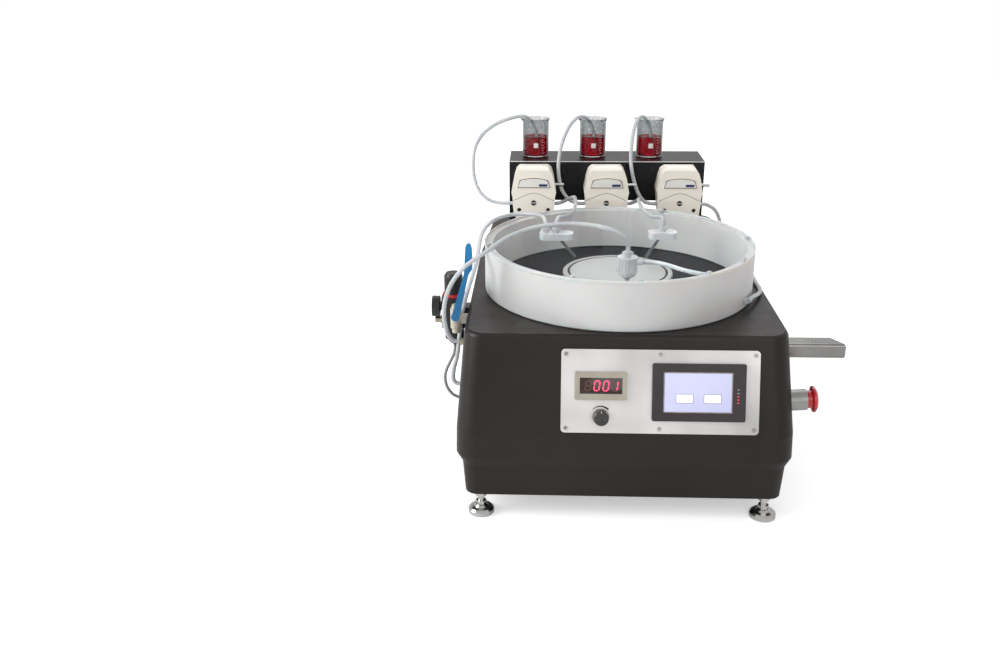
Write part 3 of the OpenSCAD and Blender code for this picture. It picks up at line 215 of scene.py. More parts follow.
MAT = {
    "housing": surface("housing_paint", (40, 33, 30), (30, 25, 23), (0.36, 0.46), 5, 1400, 0.12,
                       Specular_IOR_Level=0.3),
    "milky": surface("milky_acrylic", (223, 224, 223), (211, 212, 211), (0.30, 0.42), 7, 500, 0.04,
                     Subsurface_Weight=0.25, Subsurface_Scale=0.02, Transmission_Weight=0.12),
    "deck": surface("deck_tray", (26, 27, 34), (21, 22, 28), (0.42, 0.48), 8, 700, 0.03,
                    Specular_IOR_Level=0.03),
    "chuck": surface("chuck_grey", (170, 170, 168), (160, 160, 158), (0.4, 0.47), 12, 900, 0.03),
    "white": surface("nozzle_plastic", (226, 228, 229), (212, 215, 217), (0.3, 0.42), 30, 900,
                     0.05, Subsurface_Weight=0.15, Subsurface_Scale=0.005,
                     Transmission_Weight=0.25),
    "ivory": surface("pump_ivory", (252, 246, 235), (246, 238, 225), (0.3, 0.4), 18, 900, 0.06),
    "shelf": surface("shelf_paint", (18, 18, 23), (13, 13, 18), (0.26, 0.34), 8, 1500, 0.06,
                     Specular_IOR_Level=0.3),
    "chrome": surface("chrome", (214, 212, 210), (196, 194, 192), (0.12, 0.22), 30, 900, 0.03,
                      Metallic=1.0),
    "steel": surface("ground_steel", (196, 197, 200), (176, 178, 182), (0.26, 0.4), 14, 600, 0.05,
                     (1, 1, 40), Metallic=1.0),
    "duct": surface("duct_steel", (166, 165, 163), (142, 141, 139), (0.22, 0.36), 10, 500, 0.06,
                    (2, 30, 30), Metallic=1.0),
    "panel": surface("brushed_panel", (242, 240, 238), (184, 183, 182), (0.34, 0.46), 5, 380, 0.07,
                     (2, 30, 60), Metallic=0.45),
    "beige": surface("meter_bezel", (176, 170, 156), (164, 158, 144), (0.4, 0.5), 30, 1200, 0.08),
    "black": surface("black_plastic", (30, 30, 32), (20, 20, 22), (0.34, 0.48), 20, 1200, 0.1),
    "bezel": surface("touch_bezel", (52, 43, 46), (42, 35, 38), (0.32, 0.44), 20, 1500, 0.08),
    "collar": surface("stop_collar", (168, 168, 164), (150, 150, 146), (0.3, 0.42), 25, 900, 0.05,
                      Metallic=0.4),
    "red": surface("stop_red", (206, 30, 44), (186, 22, 36), (0.2, 0.3), 30, 900, 0.04,
                   Coat_Weight=0.4),
    "ring_red": surface("lock_red", (200, 46, 44), (176, 34, 34), (0.35, 0.5), 30, 900, 0.06),
    "blue": surface("valve_blue", (12, 128, 186), (8, 108, 166), (0.25, 0.38), 30, 900, 0.05),
    "cream": surface("valve_cream", (214, 208, 192), (196, 190, 172), (0.35, 0.5), 40, 900, 0.06),
    "knob": surface("knob_black", (66, 64, 63), (50, 49, 48), (0.2, 0.3), 40, 900, 0.06),
    "rim": surface("screen_rim", (176, 166, 168), (146, 136, 138), (0.3, 0.4), 60, 900, 0.03),
    # A pale colour painted on as a highlight: the shelf's front edge and the bars in the rotors'
    # slots
    "painted_highlight": surface("pale_painted_highlight", (232, 231, 230), (212, 211, 210), (0.3, 0.45), 60, 900, 0.05),
    "motor": surface("motor_black", (42, 43, 46), (34, 35, 38), (0.4, 0.55), 20, 900, 0.08),
    "brass": surface("nickel_brass", (190, 184, 168), (168, 160, 142), (0.25, 0.4), 30, 900, 0.05,
                     Metallic=1.0),
    "screw": surface("screw_steel", (196, 194, 190), (160, 158, 156), (0.2, 0.32), 60, 900, 0.05,
                     Metallic=1.0),
    "rubber": surface("seal_rubber", (34, 34, 36), (26, 26, 28), (0.6, 0.75), 40, 1500, 0.1),
    "ink": surface("panel_ink", (36, 36, 38), (28, 28, 30), (0.5, 0.6), 60, 900, 0.03),
    "pale_ink": surface("beaker_ink", (236, 232, 228), (222, 218, 214), (0.5, 0.6), 60, 900, 0.03),
    "label": surface("pump_label", (244, 241, 236), (234, 231, 226), (0.3, 0.4), 40, 900, 0.03),
    "badge": surface("pump_badge", (44, 62, 104), (36, 52, 92), (0.3, 0.4), 40, 900, 0.03),
    "tube": tubing("soft_tube", (228, 232, 234), (206, 212, 216)),
    "hose": tubing("soft_hose", (170, 172, 174), (146, 148, 152)),
    "clear": glass("clear_acrylic", (0.97, 0.98, 0.98), 1.04, (0.004, 0.016), (0.74, 0.75, 0.76)),
    "beaker": glass("beaker_glass", (0.64, 0.66, 0.67), 1.3, (0.01, 0.03), (0.85, 0.87, 0.88),
                    (0.2, 0.21, 0.22)),
    "liquid": glass("red_liquid", (0.72, 0.002, 0.018), 1.2, (0.02, 0.05), (0.8, 0.05, 0.06),
                    (0.3, 0.001, 0.01), 28),
    "window": surface("meter_window", (52, 30, 26), (44, 25, 22), (0.12, 0.2), 20, 300, 0.01,
                      Coat_Weight=0.3),
    "digit": glowing("digit_red", lin(255, 70, 110), 1.2),
    "ghost": surface("digit_off", (96, 70, 62), (88, 63, 56), (0.3, 0.4), 20, 300, 0.01),
    "screen": glowing("touch_screen", lin(192, 194, 226), 0.3),
    "button": glowing("screen_button", lin(244, 244, 248), 0.3),
    "button_edge": glowing("button_edge", lin(120, 122, 150), 0.2),
    "lamp_red": glowing("lamp_red", lin(220, 60, 90), 0.6),
}

SLOTS = {
    "housing": "housing", "base_plate": "black", "foot_pads": "chrome", "foot_studs": "chrome",
    "deck_tray": "deck", "splash_ring": "milky", "lid": "clear", "lid_screws": "white",
    "front_nozzle": "white", "rear_nozzles": "white", "nozzle_tubes": "beaker",
    "ring_union": "white", "chuck": "chuck", "chuck_seal": "rubber", "spindle_shaft": "steel",
    "spindle_bearings": "steel", "bearing_housing": "steel", "spin_motor": "motor",
    "vacuum_union": "brass", "front_panel": "panel", "panel_screws": "screw",
    "speed_meter": "beige", "speed_knob": "knob", "touch_panel": "bezel",
    "stop_collar": "collar", "stop_button": "red", "exhaust_duct": "duct",
    "shelf_frame": "shelf", "pump_bodies": "ivory", "pump_motors": "motor",
    "regulator_body": "black", "lock_ring": "ring_red", "regulator_knob": "black",
    "pressure_gauge": "black", "valve_body": "cream", "valve_lever": "blue",
    "wall_fittings": "brass", "power_inlet": "black",
}
for number in (1, 2, 3):
    SLOTS[f"pump_jaw_{number}"] = "ivory"
    SLOTS[f"pump_rotor_{number}"] = "motor"
    SLOTS[f"pump_lever_{number}"] = "chrome"

for node, key in SLOTS.items():
    for slot in bpy.data.objects[node].material_slots:
        slot.material = MAT[key]

# ---------------------------------------------------------------- shapes


def piece(name, mesh, material, body):
    obj = bpy.data.objects.new(name, mesh)
    bpy.context.scene.collection.objects.link(obj)
    mesh.materials.append(MAT[material])
    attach(obj, body)
    return obj


def shade(mesh, angle=35):
    """Smooth, with edges sharper than the angle kept crisp."""
    for p in mesh.polygons:
        p.use_smooth = True
    mesh.set_sharp_from_angle(angle=math.radians(angle))


def lathe(name, profile, centre, material, body, steps, shift=None):
    """A profile of (radius, height) turned round the upright line through centre, in millimetres.
    shift(point, angle) may move each point."""
    bm = bmesh.new()
    rings = []
    for r, h in profile:
        ring = []
        for k in range(1 if r == 0 else steps):
            a = 2 * math.pi * k / steps
            p = Vector((r * math.cos(a), r * math.sin(a), h))
            if shift:
                p = shift(p, a)
            ring.append(bm.verts.new(at(*centre) + p * MM))
        rings.append(ring)
    for low, high in zip(rings, rings[1:]):
        for k in range(steps):
            n = (k + 1) % steps
            corners = [low[k % len(low)], low[n % len(low)],
                       high[n % len(high)], high[k % len(high)]]
            bm.faces.new(list(dict.fromkeys(corners)))
    bmesh.ops.remove_doubles(bm, verts=bm.verts, dist=1e-7)
    bmesh.ops.recalc_face_normals(bm, faces=bm.faces)
    mesh = bpy.data.meshes.new(name)
    bm.to_mesh(mesh)
    bm.free()
    shade(mesh)
    return piece(name, mesh, material, body)


def plates(name, outlines, place, thick, material, body, bevel):
    """Flat shapes given as outlines in millimetres, laid on a plane by place(x, y, z)."""
    bm = bmesh.new()
    for outline in outlines:
        low = [bm.verts.new((x, y, 0.0)) for x, y in outline]
        high = [bm.verts.new((x, y, thick)) for x, y in outline]
        bm.faces.new(low)
        bm.faces.new(high)
        for k in range(len(outline)):
            bm.faces.new((low[k - 1], low[k], high[k], high[k - 1]))
    bmesh.ops.recalc_face_normals(bm, faces=bm.faces)
    if bevel:
        top = [e for e in bm.edges if all(v.co.z > thick / 2 for v in e.verts)]
        bmesh.ops.bevel(bm, geom=top, offset=bevel, segments=2, affect="EDGES", profile=0.5)
    for v in bm.verts:
        v.co = place(*v.co)
    mesh = bpy.data.meshes.new(name)
    bm.to_mesh(mesh)
    bm.free()
    shade(mesh, 30)
    return piece(name, mesh, material, body)


def rounded(w, h, r, cx=0.0, cy=0.0):
    """A rectangle's outline with round corners."""
    steps = 5
    points = []
    for sx, sy, start in ((1, 1, 0), (-1, 1, 90), (-1, -1, 180), (1, -1, 270)):
        for k in range(steps + 1):
            a = math.radians(start + 90 * k / steps)
            points.append((cx + sx * (w / 2 - r) + r * math.cos(a),
                           cy + sy * (h / 2 - r) + r * math.sin(a)))
    return points


# The housing as in the part's source: half its width and its height at the shoulder, the crest
# and the belt, and the front, which slopes out by CREST_OUT from the shoulder to the crest
SHOULDER_HALF, SHOULDER_Z = 243, 280
CREST_HALF, CREST_Z = 254, 140
BELT_HALF, BELT_Z = 254.5, 102
CREST_OUT = 41
FACE_TILT = math.atan(CREST_OUT / (SHOULDER_Z - CREST_Z))
# The middle of the front panel
PANEL_X, PANEL_Z = 50, 206.5
PANEL_Y = -CREST_OUT * (SHOULDER_Z - PANEL_Z) / (SHOULDER_Z - CREST_Z)
PANEL = Vector((PANEL_X, PANEL_Y, PANEL_Z))
FACE_UP = Vector((0, math.sin(FACE_TILT), math.cos(FACE_TILT)))
FACE_OUT = Vector((0, -math.cos(FACE_TILT), math.sin(FACE_TILT)))


def face_plane(cx, cy, out):
    """The front panel's plane, moved out of the slope."""
    def place(x, y, z):
        return at(*(PANEL + Vector((cx + x, 0, 0)) + FACE_UP * (cy + y) + FACE_OUT * (out + z)))
    return place


def front_plane(cx, y, cz):
    """A vertical plane that faces the front."""
    def place(x, up, out):
        return at(cx + x, y - out, cz + up)
    return place


# ---------------------------------------------------------------- tubes

# The chuck's axis, the lid's top and the tops of the nozzle stems
AXIS_Y = 234.0
LID_TOP = 366.3
STEM_TOP = LID_TOP + 5
# The pumps and their tube ports, and the beakers on the shelf with its front edge
PUMPS = (-145.0, -5.0, 135.0)
PORT_SIDE, PORT_Y, PORT_Z = 35.0, 549.7, 349.5
BEAKERS = (-143.0, -29.0, 84.0)
BEAKER_Y, SHELF_Y, SHELF_Z = 641.0, 582.0, 426.3
# The splash ring's radii, and the union through its wall
RING_R, RING_IN = 222.0, 209.0
UNION_ANGLE, UNION_Z = math.radians(-30), 300.3


def at_union(r, along, z):
    """A place in line with the ring's union: r from the axis and along the ring's wall."""
    c, s = math.cos(UNION_ANGLE), math.sin(UNION_ANGLE)
    return r * c - along * s, AXIS_Y + r * s + along * c, z


def port(i, side):
    """A pump's tube port, on its left (-1) or its right (1)."""
    return PUMPS[i] + side * PORT_SIDE, PORT_Y, PORT_Z


def side_x(z):
    """Half the housing's width at a height."""
    if z > CREST_Z:
        top, top_z, low, low_z = SHOULDER_HALF, SHOULDER_Z, CREST_HALF, CREST_Z
    else:
        top, top_z, low, low_z = CREST_HALF, CREST_Z, BELT_HALF, BELT_Z
    return top + (top_z - z) * (low - top) / (top_z - low_z)


# How far each fitting's mouth stands out of the left wall, its y and its z
WALL_FITTINGS = ((8.9, 85, 241), (4.8, 126, 150), (3.6, 152, 113))
WALL_PORTS = [(-side_x(z) - out, y, z) for out, y, z in WALL_FITTINGS]
REGULATOR_Z, REGULATOR_STANDOFF, REGULATOR_W = 270, 6.2, 38
REGULATOR_X = -side_x(REGULATOR_Z) - REGULATOR_STANDOFF - REGULATOR_W / 2


def off_wall(i, away):
    """A place straight out from a wall fitting's mouth."""
    x, y, z = WALL_PORTS[i]
    return x - away, y, z


def stem(x, y, away=0.3):
    """A place straight above a nozzle's stem."""
    return x, y, STEM_TOP + away


# The middle line of every tube, in the source's millimetres
ROUTES = {
    "dip_tube_1": [
        (-139, 641, 440), (-141, 640, 465), (-147, 637.5, 486), (-155.5, 632, 500),
        (-166, 625, 506), (-180, 616, 507), (-203, 601, 503), (-226, 588, 494), (-247, 576, 478),
        (-261, 566, 453), (-264, 560, 425),
        (-261, 556, 395), (-250, 553, 370), (-232, 551, 355), (-212, 550, 350),
        (-195, PORT_Y, PORT_Z), port(0, -1)],
    "dip_tube_2": [
        (-23, 641, 440), (-26, 640, 465), (-32, 637, 486), (-40.5, 631, 500), (-51, 623, 506),
        (-64, 612, 504), (-78, 597, 490), (-90, 580, 465), (-97, 566, 435), (-97, 558, 405),
        (-90, 553, 375), (-76, 551, 357), (-63, 550, 350.5), (-52, PORT_Y, PORT_Z), port(1, -1)],
    "dip_tube_3": [
        (90, 641, 440), (87, 640, 465), (82, 637, 486), (74.5, 631, 500), (66, 623.5, 506),
        (57, 612, 503), (49, 598, 486), (44, 582, 458), (43, 568, 428), (48, 558, 398),
        (58, 552, 370), (69, 550, 355), (79, 550, 350.5), (88, PORT_Y, PORT_Z), port(2, -1)],
    "feed_tube_1": [
        port(0, 1), (-100, PORT_Y, PORT_Z), (-90, 549, 352), (-79, 543, 359), (-71, 530, 366),
        (-67, 512, 371), (-66, 490, 373), (-66, 455, 373), (-69, 420, 373), (-76, 380, 374),
        (-86, 345, 377), (-94, 322, 382), (-99, 306, 384.5), (-102, 294, 383),
        stem(-103, 290, 7), stem(-103, 290)],
    "feed_tube_2": [
        port(1, 1), (40, PORT_Y, PORT_Z), (48, 548, 352), (55, 540, 358), (57, 524, 365),
        (55, 500, 370), (53, 470, 372), (54, 430, 372), (60, 390, 373), (68, 350, 376),
        (74, 330, 381), (78, 314, 384), (80, 303.5, 382.5), stem(80, 300, 7), stem(80, 300)],
    "feed_tube_3": [
        port(2, 1), (180, PORT_Y, PORT_Z), (191, 551, 348), (202, 556, 342), (212, 560, 333),
        (219, 561, 320), (222, 553, 306), (223, 536, 295.5), (225, 510, 291), (227, 470, 290),
        (230, 420, 290), (233, 360, 290), (235, 300, 290), (234, 250, 290), (234, 215, 290.5),
        (230, 190, 292), (221, 167, 295), (212, 149, 298.5),
        at_union(RING_R + 5.5, 16, UNION_Z), at_union(RING_R + 5.5, 10.3, UNION_Z)],
    "nozzle_feed": [
        at_union(RING_IN - 5, 0, UNION_Z + 6.5), at_union(RING_IN - 5, 0, UNION_Z + 11.2),
        (174, 129, 320), (166, 121, 330), (154, 112, 338.5), (140, 105.5, 344), (124, 102, 348),
        (106, 104, 350.5), (88, 115, 352), (71, 131.5, 353), (56.4, 144, 352.8),
        (48.6, 148.2, 352.4), (38, 150, 352.3), (33.3, 150, 352.3)],
    "gas_tube_front": [
        off_wall(0, 0.3), off_wall(0, 5), (-267, 84.5, 244), (-274, 83.5, 256), (-278, 83, 276),
        (-278, 83, 298), (-273, 83, 320), (-263, 83, 342), (-247, 84, 362), (-230, 88, 375),
        (-208, 104, 386), (-186, 130, 395), (-162, 152, 401), (-134, 166, 406), (-104, 170, 409),
        (-74, 166, 411), (-48, 158, 411), (-26, 149, 409), (-8, 145, 403), (3, 147, 393),
        stem(9, 150, 10), stem(9, 150)],
    "gas_tube_rear": [
        off_wall(1, 0.3), off_wall(1, 5), (-268.5, 126, 153), (-271, 126, 161), (-269, 126, 178),
        (-263, 126, 202), (-257, 126, 248), (-252, 126, 282), (-244, 128, 312), (-236, 136, 336),
        (-231, 152, 352), (-230, 180, 361), (-230, 215, 366), (-229, 250, 369), (-225, 285, 371),
        (-216, 318, 373), (-200, 344, 375), (-178, 355, 377), (-156, 350, 379.5), (-138, 334, 382),
        (-127, 315, 384), (-123, 300, 382.5), stem(-121, 290, 7), stem(-121, 290)],
    "drain_hose": [
        (REGULATOR_X, 152, 209.7), (REGULATOR_X, 152, 203), (-271, 152, 192), (-277, 152, 179),
        (-284, 152, 164), (-287, 152, 149), (-284, 152, 132), (-276, 152, 119.5),
        (-268, 152, 114.5), off_wall(2, 5), off_wall(2, 0.3)],
}
TUBE_R, HOSE_R = 3.5, 2.5


def smooth_route(points):
    """Points on one smooth curve through the route, five for each point of it."""
    per = 5
    p = [Vector(q) for q in points]
    out = []
    for i in range(len(p) - 1):
        a, b, c, d = p[max(i - 1, 0)], p[i], p[i + 1], p[min(i + 2, len(p) - 1)]
        for k in range(per):
            t = k / per
            out.append(0.5 * (2 * b + (c - a) * t + (2 * a - 5 * b + 4 * c - d) * t * t
                              + (3 * b - a - 3 * c + d) * t ** 3))
    out.append(p[-1])
    return [at(*q) for q in out]


def tube(name):
    """A tube along its route, drawn in place of the node of the same name."""
    points = smooth_route(ROUTES[name])
    hose = name == "drain_hose"
    radius = HOSE_R if hose else TUBE_R
    data = bpy.data.curves.new(name + "_soft", "CURVE")
    data.dimensions = "3D"
    data.bevel_depth = radius * MM
    data.bevel_resolution = 5
    data.use_fill_caps = True
    spline = data.splines.new("POLY")
    spline.points.add(len(points) - 1)
    for q, v in zip(spline.points, points):
        q.co = (*v, 1)
    spline.use_smooth = True
    obj = bpy.data.objects.new(name + "_soft", data)
    bpy.context.scene.collection.objects.link(obj)
    data.materials.append(MAT["hose" if hose else "tube"])
    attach(obj, "cover" if name == "nozzle_feed" else "base")
    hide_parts(name)


for name in ROUTES:
    tube(name)

# ---------------------------------------------------------------- stage and light


def seen_directly(tree):
    """1 for a ray that carries what is behind the object: from the camera or through glass."""
    path = tree.nodes.new("ShaderNodeLightPath")
    either = tree.nodes.new("ShaderNodeMath")
    either.operation = "MAXIMUM"
    tree.links.new(path.outputs["Is Camera Ray"], either.inputs[0])
    tree.links.new(path.outputs["Is Transmission Ray"], either.inputs[1])
    return either.outputs[0]


# Half the floor's side and its height in metres: just below the feet, so that the two don't
# share a plane
FLOOR_HALF, FLOOR_Z = 30.0, -0.0002
# The floor glows where it is seen, and the white world is dimmer where it only lights
FLOOR_GLOW = 0.45
WORLD_LEVEL = 0.6
# Name, place in metres, size in metres and power in watts
LAMPS = (
    ("key", (-2.7, -0.85, 1.5), 1.6, 60),
    ("fill", (0.7, -2.3, 1.3), 1.4, 9),
    ("back", (0.2, 1.8, 2.2), 1.6, 18),
)
LAMPS_LOOK_AT = Vector((0, 0, 0.2))


def make_stage():
    mesh = bpy.data.meshes.new("floor")
    s = FLOOR_HALF
    mesh.from_pydata([(-s, -s, 0), (s, -s, 0), (s, s, 0), (-s, s, 0)], [], [(0, 1, 2, 3)])
    floor = bpy.data.objects.new("floor", mesh)
    bpy.context.scene.collection.objects.link(floor)
    floor.location.z = FLOOR_Z
    m = Nodes("floor")
    m.set(Base_Color=(0.92, 0.92, 0.92, 1), Emission_Color=(1, 1, 1, 1))
    m.link(m.spread(m.noise(2), 0.85, 0.95), m.shader.inputs["Roughness"])
    glow = m.spread(seen_directly(m.tree), 0.0, FLOOR_GLOW, 0, 1)
    m.link(glow, m.shader.inputs["Emission Strength"])
    mesh.materials.append(m.mat)

    world = bpy.data.worlds.new("world")
    bpy.context.scene.world = world
    world.use_nodes = True
    tree = world.node_tree
    background = tree.nodes["Background"]
    level = tree.nodes.new("ShaderNodeMapRange")
    level.inputs["To Min"].default_value = WORLD_LEVEL
    level.inputs["To Max"].default_value = 1.0
    tree.links.new(seen_directly(tree), level.inputs["Value"])
    tree.links.new(level.outputs["Result"], background.inputs["Strength"])
    background.inputs["Color"].default_value = (1, 1, 1, 1)

    for name, place, size, power in LAMPS:
        data = bpy.data.lights.new(name, "AREA")
        data.energy, data.size = power, size
        lamp = bpy.data.objects.new(name, data)
        bpy.context.scene.collection.objects.link(lamp)
        lamp.location = place
        ahead = LAMPS_LOOK_AT - Vector(place)
        lamp.rotation_euler = ahead.to_track_quat("-Z", "Y").to_euler()


make_stage()

# ---------------------------------------------------------------- front panel

# Places on the panel from its middle, and heights over the slope
METER = (-87.0, 8.5)
TOUCH = (57.0, 0.0)
KNOB = (-86.5, -38.5)
PLATE_OUT = 3.2
BEZEL_OUT = PLATE_OUT + 4.0
KNOB_OUT = PLATE_OUT + 16.0
# A digit's width, height and bar, where the four stand, and the bars that are lit on each
DIGIT_W, DIGIT_H, DIGIT_BAR = 7.6, 14.0, 1.8
DIGITS = ((-19.0, ""), (-6.2, "abcdef"), (7.4, "abcdef"), (20.6, "bc"))
# The blank buttons from the middle of the screen, and the lamps from the middle of the panel
BUTTONS_AT = ((-19.5, -9.0), (21.5, -9.0))
LAMP_COLUMN = TOUCH[0] + 57.2
LIT_LAMPS, DARK_LAMPS = (-5.0, -9.9, -14.3), (5.2, -0.2)
# The printed arc: its ends in degrees, its radius outside, and inside at its two ends
ARC_FROM, ARC_TO = 138, 46
ARC_R, ARC_IN_FROM, ARC_IN_TO = 17.0, 16.2, 14.2


def segment(kind, cx):
    """One bar of a seven-bar digit, as a leaning six-cornered outline."""
    lean, gap = 0.12, 0.4
    w, half, edge = DIGIT_W, DIGIT_H / 2, DIGIT_BAR / 2
    if kind in "agd":
        y = {"a": half, "g": 0.0, "d": -half}[kind]
        x0, x1 = -w / 2 + gap, w / 2 - gap
        shape = [(x0, y), (x0 + edge, y + edge), (x1 - edge, y + edge),
                 (x1, y), (x1 - edge, y - edge), (x0 + edge, y - edge)]
    else:
        x = {"f": -w / 2, "e": -w / 2, "b": w / 2, "c": w / 2}[kind]
        y0, y1 = (gap, half - gap) if kind in "fb" else (-half + gap, -gap)
        shape = [(x, y0), (x + edge, y0 + edge), (x + edge, y1 - edge),
                 (x, y1), (x - edge, y1 - edge), (x - edge, y0 + edge)]
    return [(cx + px + lean * py, py) for px, py in shape]


def make_meter():
    meter = face_plane(*METER, BEZEL_OUT - 1.2)
    plates("meter_window", [rounded(62.6, 23.6, 1.0)], meter, 0.5, "window", "base", 0.1)
    lit, dark = [], []
    for cx, shown in DIGITS:
        for kind in "abcdefg":
            (lit if kind in shown else dark).append(segment(kind, cx))
    digits = face_plane(*METER, BEZEL_OUT - 0.7)
    plates("meter_digits", lit, digits, 0.12, "digit", "base", 0)
    plates("meter_digits_off", dark, digits, 0.08, "ghost", "base", 0)


def make_touch_panel():
    def screen(out):
        return face_plane(TOUCH[0] - 1.5, TOUCH[1], BEZEL_OUT + out)

    def on_touch(name, outlines, place, thick, material, bevel):
        plates(name, outlines, place, thick, material, "base", bevel)

    def buttons(w, h, r):
        return [rounded(w, h, r, *place) for place in BUTTONS_AT]

    def lamps(heights):
        return [rounded(2.8, 1.7, 0.6, LAMP_COLUMN, y) for y in heights]

    on_touch("touch_rim", [rounded(101.8, 60.8, 1.0)], screen(-1.3), 0.5, "rim", 0.1)
    on_touch("touch_glass", [rounded(98.0, 57.2, 0.8)], screen(-1.2), 0.6, "screen", 0.1)
    on_touch("touch_button_edges", buttons(26.1, 14.1, 1.6), screen(-0.6), 0.08, "button_edge", 0)
    on_touch("touch_buttons", buttons(24.5, 12.5, 1.2), screen(-0.6), 0.15, "button", 0.05)
    bezel = face_plane(0, 0, BEZEL_OUT)
    on_touch("touch_lamps", lamps(LIT_LAMPS), bezel, 0.2, "lamp_red", 0)
    on_touch("touch_lamps_off", lamps(DARK_LAMPS), bezel, 0.2, "collar", 0)


def make_knob_marks():
    """A pale pointer on the knob, and the tapering arc printed over it."""
    pointer = [(-0.5, 7.2), (0.5, 7.2), (0.5, 10.4), (-0.5, 10.4)]
    plates("knob_pointer", [pointer], face_plane(*KNOB, KNOB_OUT - 1.4), 1.1, "pale_ink",
           "speed_knob", 0)
    steps = 20
    outer, inner = [], []
    for k in range(steps + 1):
        a = math.radians(ARC_FROM - (ARC_FROM - ARC_TO) * k / steps)
        r = ARC_IN_FROM - (ARC_IN_FROM - ARC_IN_TO) * k / steps
        outer.append((ARC_R * math.cos(a), ARC_R * math.sin(a)))
        inner.insert(0, (r * math.cos(a), r * math.sin(a)))
    plates("knob_scale", [outer + inner], face_plane(*KNOB, PLATE_OUT), 0.15, "ink", "base", 0)


def make_panel():
    make_meter()
    make_touch_panel()
    make_knob_marks()


make_panel()

# ---------------------------------------------------------------- cover


def make_lid_edge():
    """The lid's sawn edge, which is frosted like the ring under it."""
    low, high = LID_TOP - 4.95, LID_TOP - 0.05
    r = RING_R
    profile = [(r - 0.5, low), (r + 0.15, low), (r + 0.4, low + 0.5), (r + 0.4, high - 0.5),
               (r + 0.15, high), (r - 0.5, high), (r - 0.5, low)]
    lathe("lid_edge", profile, (0, AXIS_Y, 0), "milky", "cover", 144)


make_lid_edge()

# ---------------------------------------------------------------- pumps

# The height of the rotors' axes, and the y of the heads' fronts
ROTOR_Z = 357.5
PUMP_FRONT = 519.7


def label_outline(grow):
    """The pump's label, wider below and with an arched top, larger all round by grow."""
    points = [(-32 - grow, 29 - grow), (32 + grow, 29 - grow), (27.5 + grow, 45.0 + grow)]
    for k in range(1, 10):
        x = 27 - 54 * k / 10
        points.append((x, 45.3 + grow + 4 * (1 - (x / 27) ** 2)))
    points.append((-27.5 - grow, 45.0 + grow))
    return points


def disc(cx, cy, r):
    steps = 24
    turns = (2 * math.pi * k / steps for k in range(steps))
    return [(cx + r * math.cos(a), cy + r * math.sin(a)) for a in turns]


def make_pumps():
    for i, x in enumerate(PUMPS, 1):
        def on_front(name, outlines, sunk, thick, material, body):
            """Flat shapes on a pump's front; sunk is how far their backs lie behind it."""
            place = front_plane(x, PUMP_FRONT + sunk, ROTOR_Z)
            plates(f"{name}_{i}", outlines, place, thick, material, body, 0)

        jaw = f"pump_jaw_{i}"
        on_front("pump_label_edge", [label_outline(-0.6)], -1.2, 0.2, "ink", jaw)
        on_front("pump_label", [label_outline(-1.8)], -1.4, 0.2, "label", jaw)
        on_front("pump_badge", [rounded(17, 4.8, 2.2, 18, 34.6)], -1.6, 0.15, "badge", jaw)
        eyes = [disc(side * 28, -14, 4.5) for side in (-1, 1)]
        on_front("pump_eyes", eyes, 3.9, 0.6, "rubber", "base")
        # A pale bar in each rotor's slot, flush with the rotor's face: a painted highlight
        slot = [(-4.6, -0.7), (4.6, -0.7), (4.6, 0.7), (-4.6, 0.7)]
        on_front("rotor_slot_highlight", [slot], 0.9, 1.7, "painted_highlight", f"pump_rotor_{i}")


make_pumps()


def make_shelf_edge():
    """A painted highlight: a pale strip along the shelf's front top edge, where the bend catches
    the light.
    """
    left, right = -193.5, 187.5
    strip = [(left, -1.3), (right, -1.3), (right, 0.2), (left, 0.2)]
    place = front_plane(0, SHELF_Y + 0.1, SHELF_Z - 0.5)
    plates("shelf_edge_highlight", [strip], place, 0.35, "painted_highlight", "base", 0)


make_shelf_edge()

# ---------------------------------------------------------------- beakers

# Outside radius, height and wall; the liquid leaves a thin gap to the glass
BEAKER_R, BEAKER_H, BEAKER_WALL = 26.0, 74.0, 1.6
FILL_R = BEAKER_R - BEAKER_WALL - 0.15
MARKS_R = BEAKER_R + 0.12


def beaker_profile():
    """Up the outside to the flared lip, over it and down the inside."""
    r, h, inside = BEAKER_R, BEAKER_H, BEAKER_R - BEAKER_WALL
    return [(0, 0), (r - 4, 0), (r - 1.2, 0.7), (r, 3.2), (r, h - 9), (r + 0.1, h - 5),
            (r + 0.9, h - 1.8), (r + 1.7, h - 0.4), (r + 1.2, h), (r - 0.2, h - 1.2),
            (inside, h - 5), (inside, h - 9), (inside, 4.2), (inside - 2.2, 2.2), (0, 2.0)]


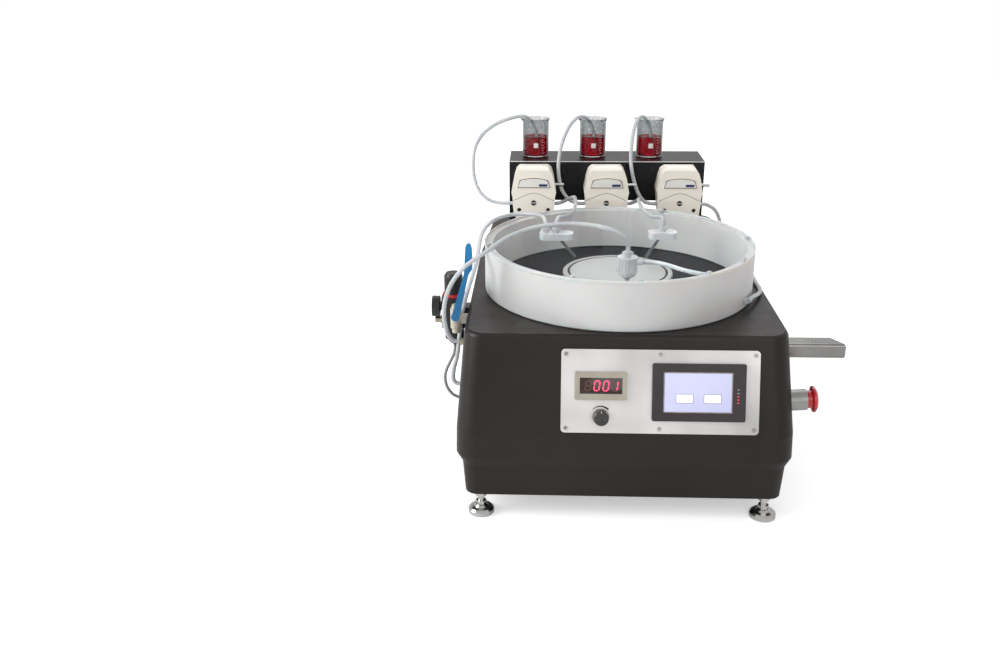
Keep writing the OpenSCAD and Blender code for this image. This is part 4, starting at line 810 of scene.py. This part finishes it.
def liquid_profile():
    """It climbs the glass a little at its surface."""
    return [(0, 2.3), (FILL_R - 2.2, 2.5), (FILL_R, 4.6), (FILL_R, 39.5), (FILL_R - 0.6, 38.9),
            (FILL_R - 2, 38.5), (0, 38.5)]


def spout(p, a):
    """The lip's pulled spout, on the left of the rim."""
    lift = max(0.0, (p.z - BEAKER_H + 9) / 9)
    pull = math.exp(-((a - math.pi) / 0.28) ** 2) * lift ** 2
    return Vector((p.x - 4.5 * pull, p.y * (1 - 0.10 * pull), p.z + 0.4 * pull))


def bar(bm, cx, angle, wide, z, high):
    """A printed bar that follows a beaker's side from an angle, in short flat steps."""
    steps = 6
    for side in range(steps):
        a0 = angle + wide / MARKS_R * (side / steps)
        a1 = angle + wide / MARKS_R * ((side + 1) / steps)
        corners = []
        for a, q in ((a0, z), (a1, z), (a1, z + high), (a0, z + high)):
            x, y = cx + MARKS_R * math.cos(a), BEAKER_Y + MARKS_R * math.sin(a)
            corners.append(bm.verts.new(at(x, y, SHELF_Z + q)))
        bm.faces.new(corners)


def make_beaker_marks(name, cx, body):
    """Nine ticks and, left of them, a block, printed on the glass."""
    bm = bmesh.new()
    for k in range(9):
        bar(bm, cx, math.radians(-62), 7.0 if k % 2 == 0 else 4.0, 8 + 5.2 * k, 0.6)
    bar(bm, cx, math.radians(-98), 9.0, 19, 9.5)
    bmesh.ops.remove_doubles(bm, verts=bm.verts, dist=1e-6)
    mesh = bpy.data.meshes.new(name)
    bm.to_mesh(mesh)
    bm.free()
    thick = piece(name, mesh, "pale_ink", body).modifiers.new("thick", "SOLIDIFY")
    thick.thickness = 0.0001
    thick.offset = 1


def make_beakers():
    for i, x in enumerate(BEAKERS, 1):
        body, foot = f"beaker_{i}", (x, BEAKER_Y, SHELF_Z)
        glassware = lathe(f"beaker_glass_{i}", beaker_profile(), foot, "beaker", body, 72,
                          spout)
        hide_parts(body)
        lathe(f"beaker_liquid_{i}", liquid_profile(), foot, "liquid", body, 72)
        make_beaker_marks(f"beaker_marks_{i}", x, body)


make_beakers()
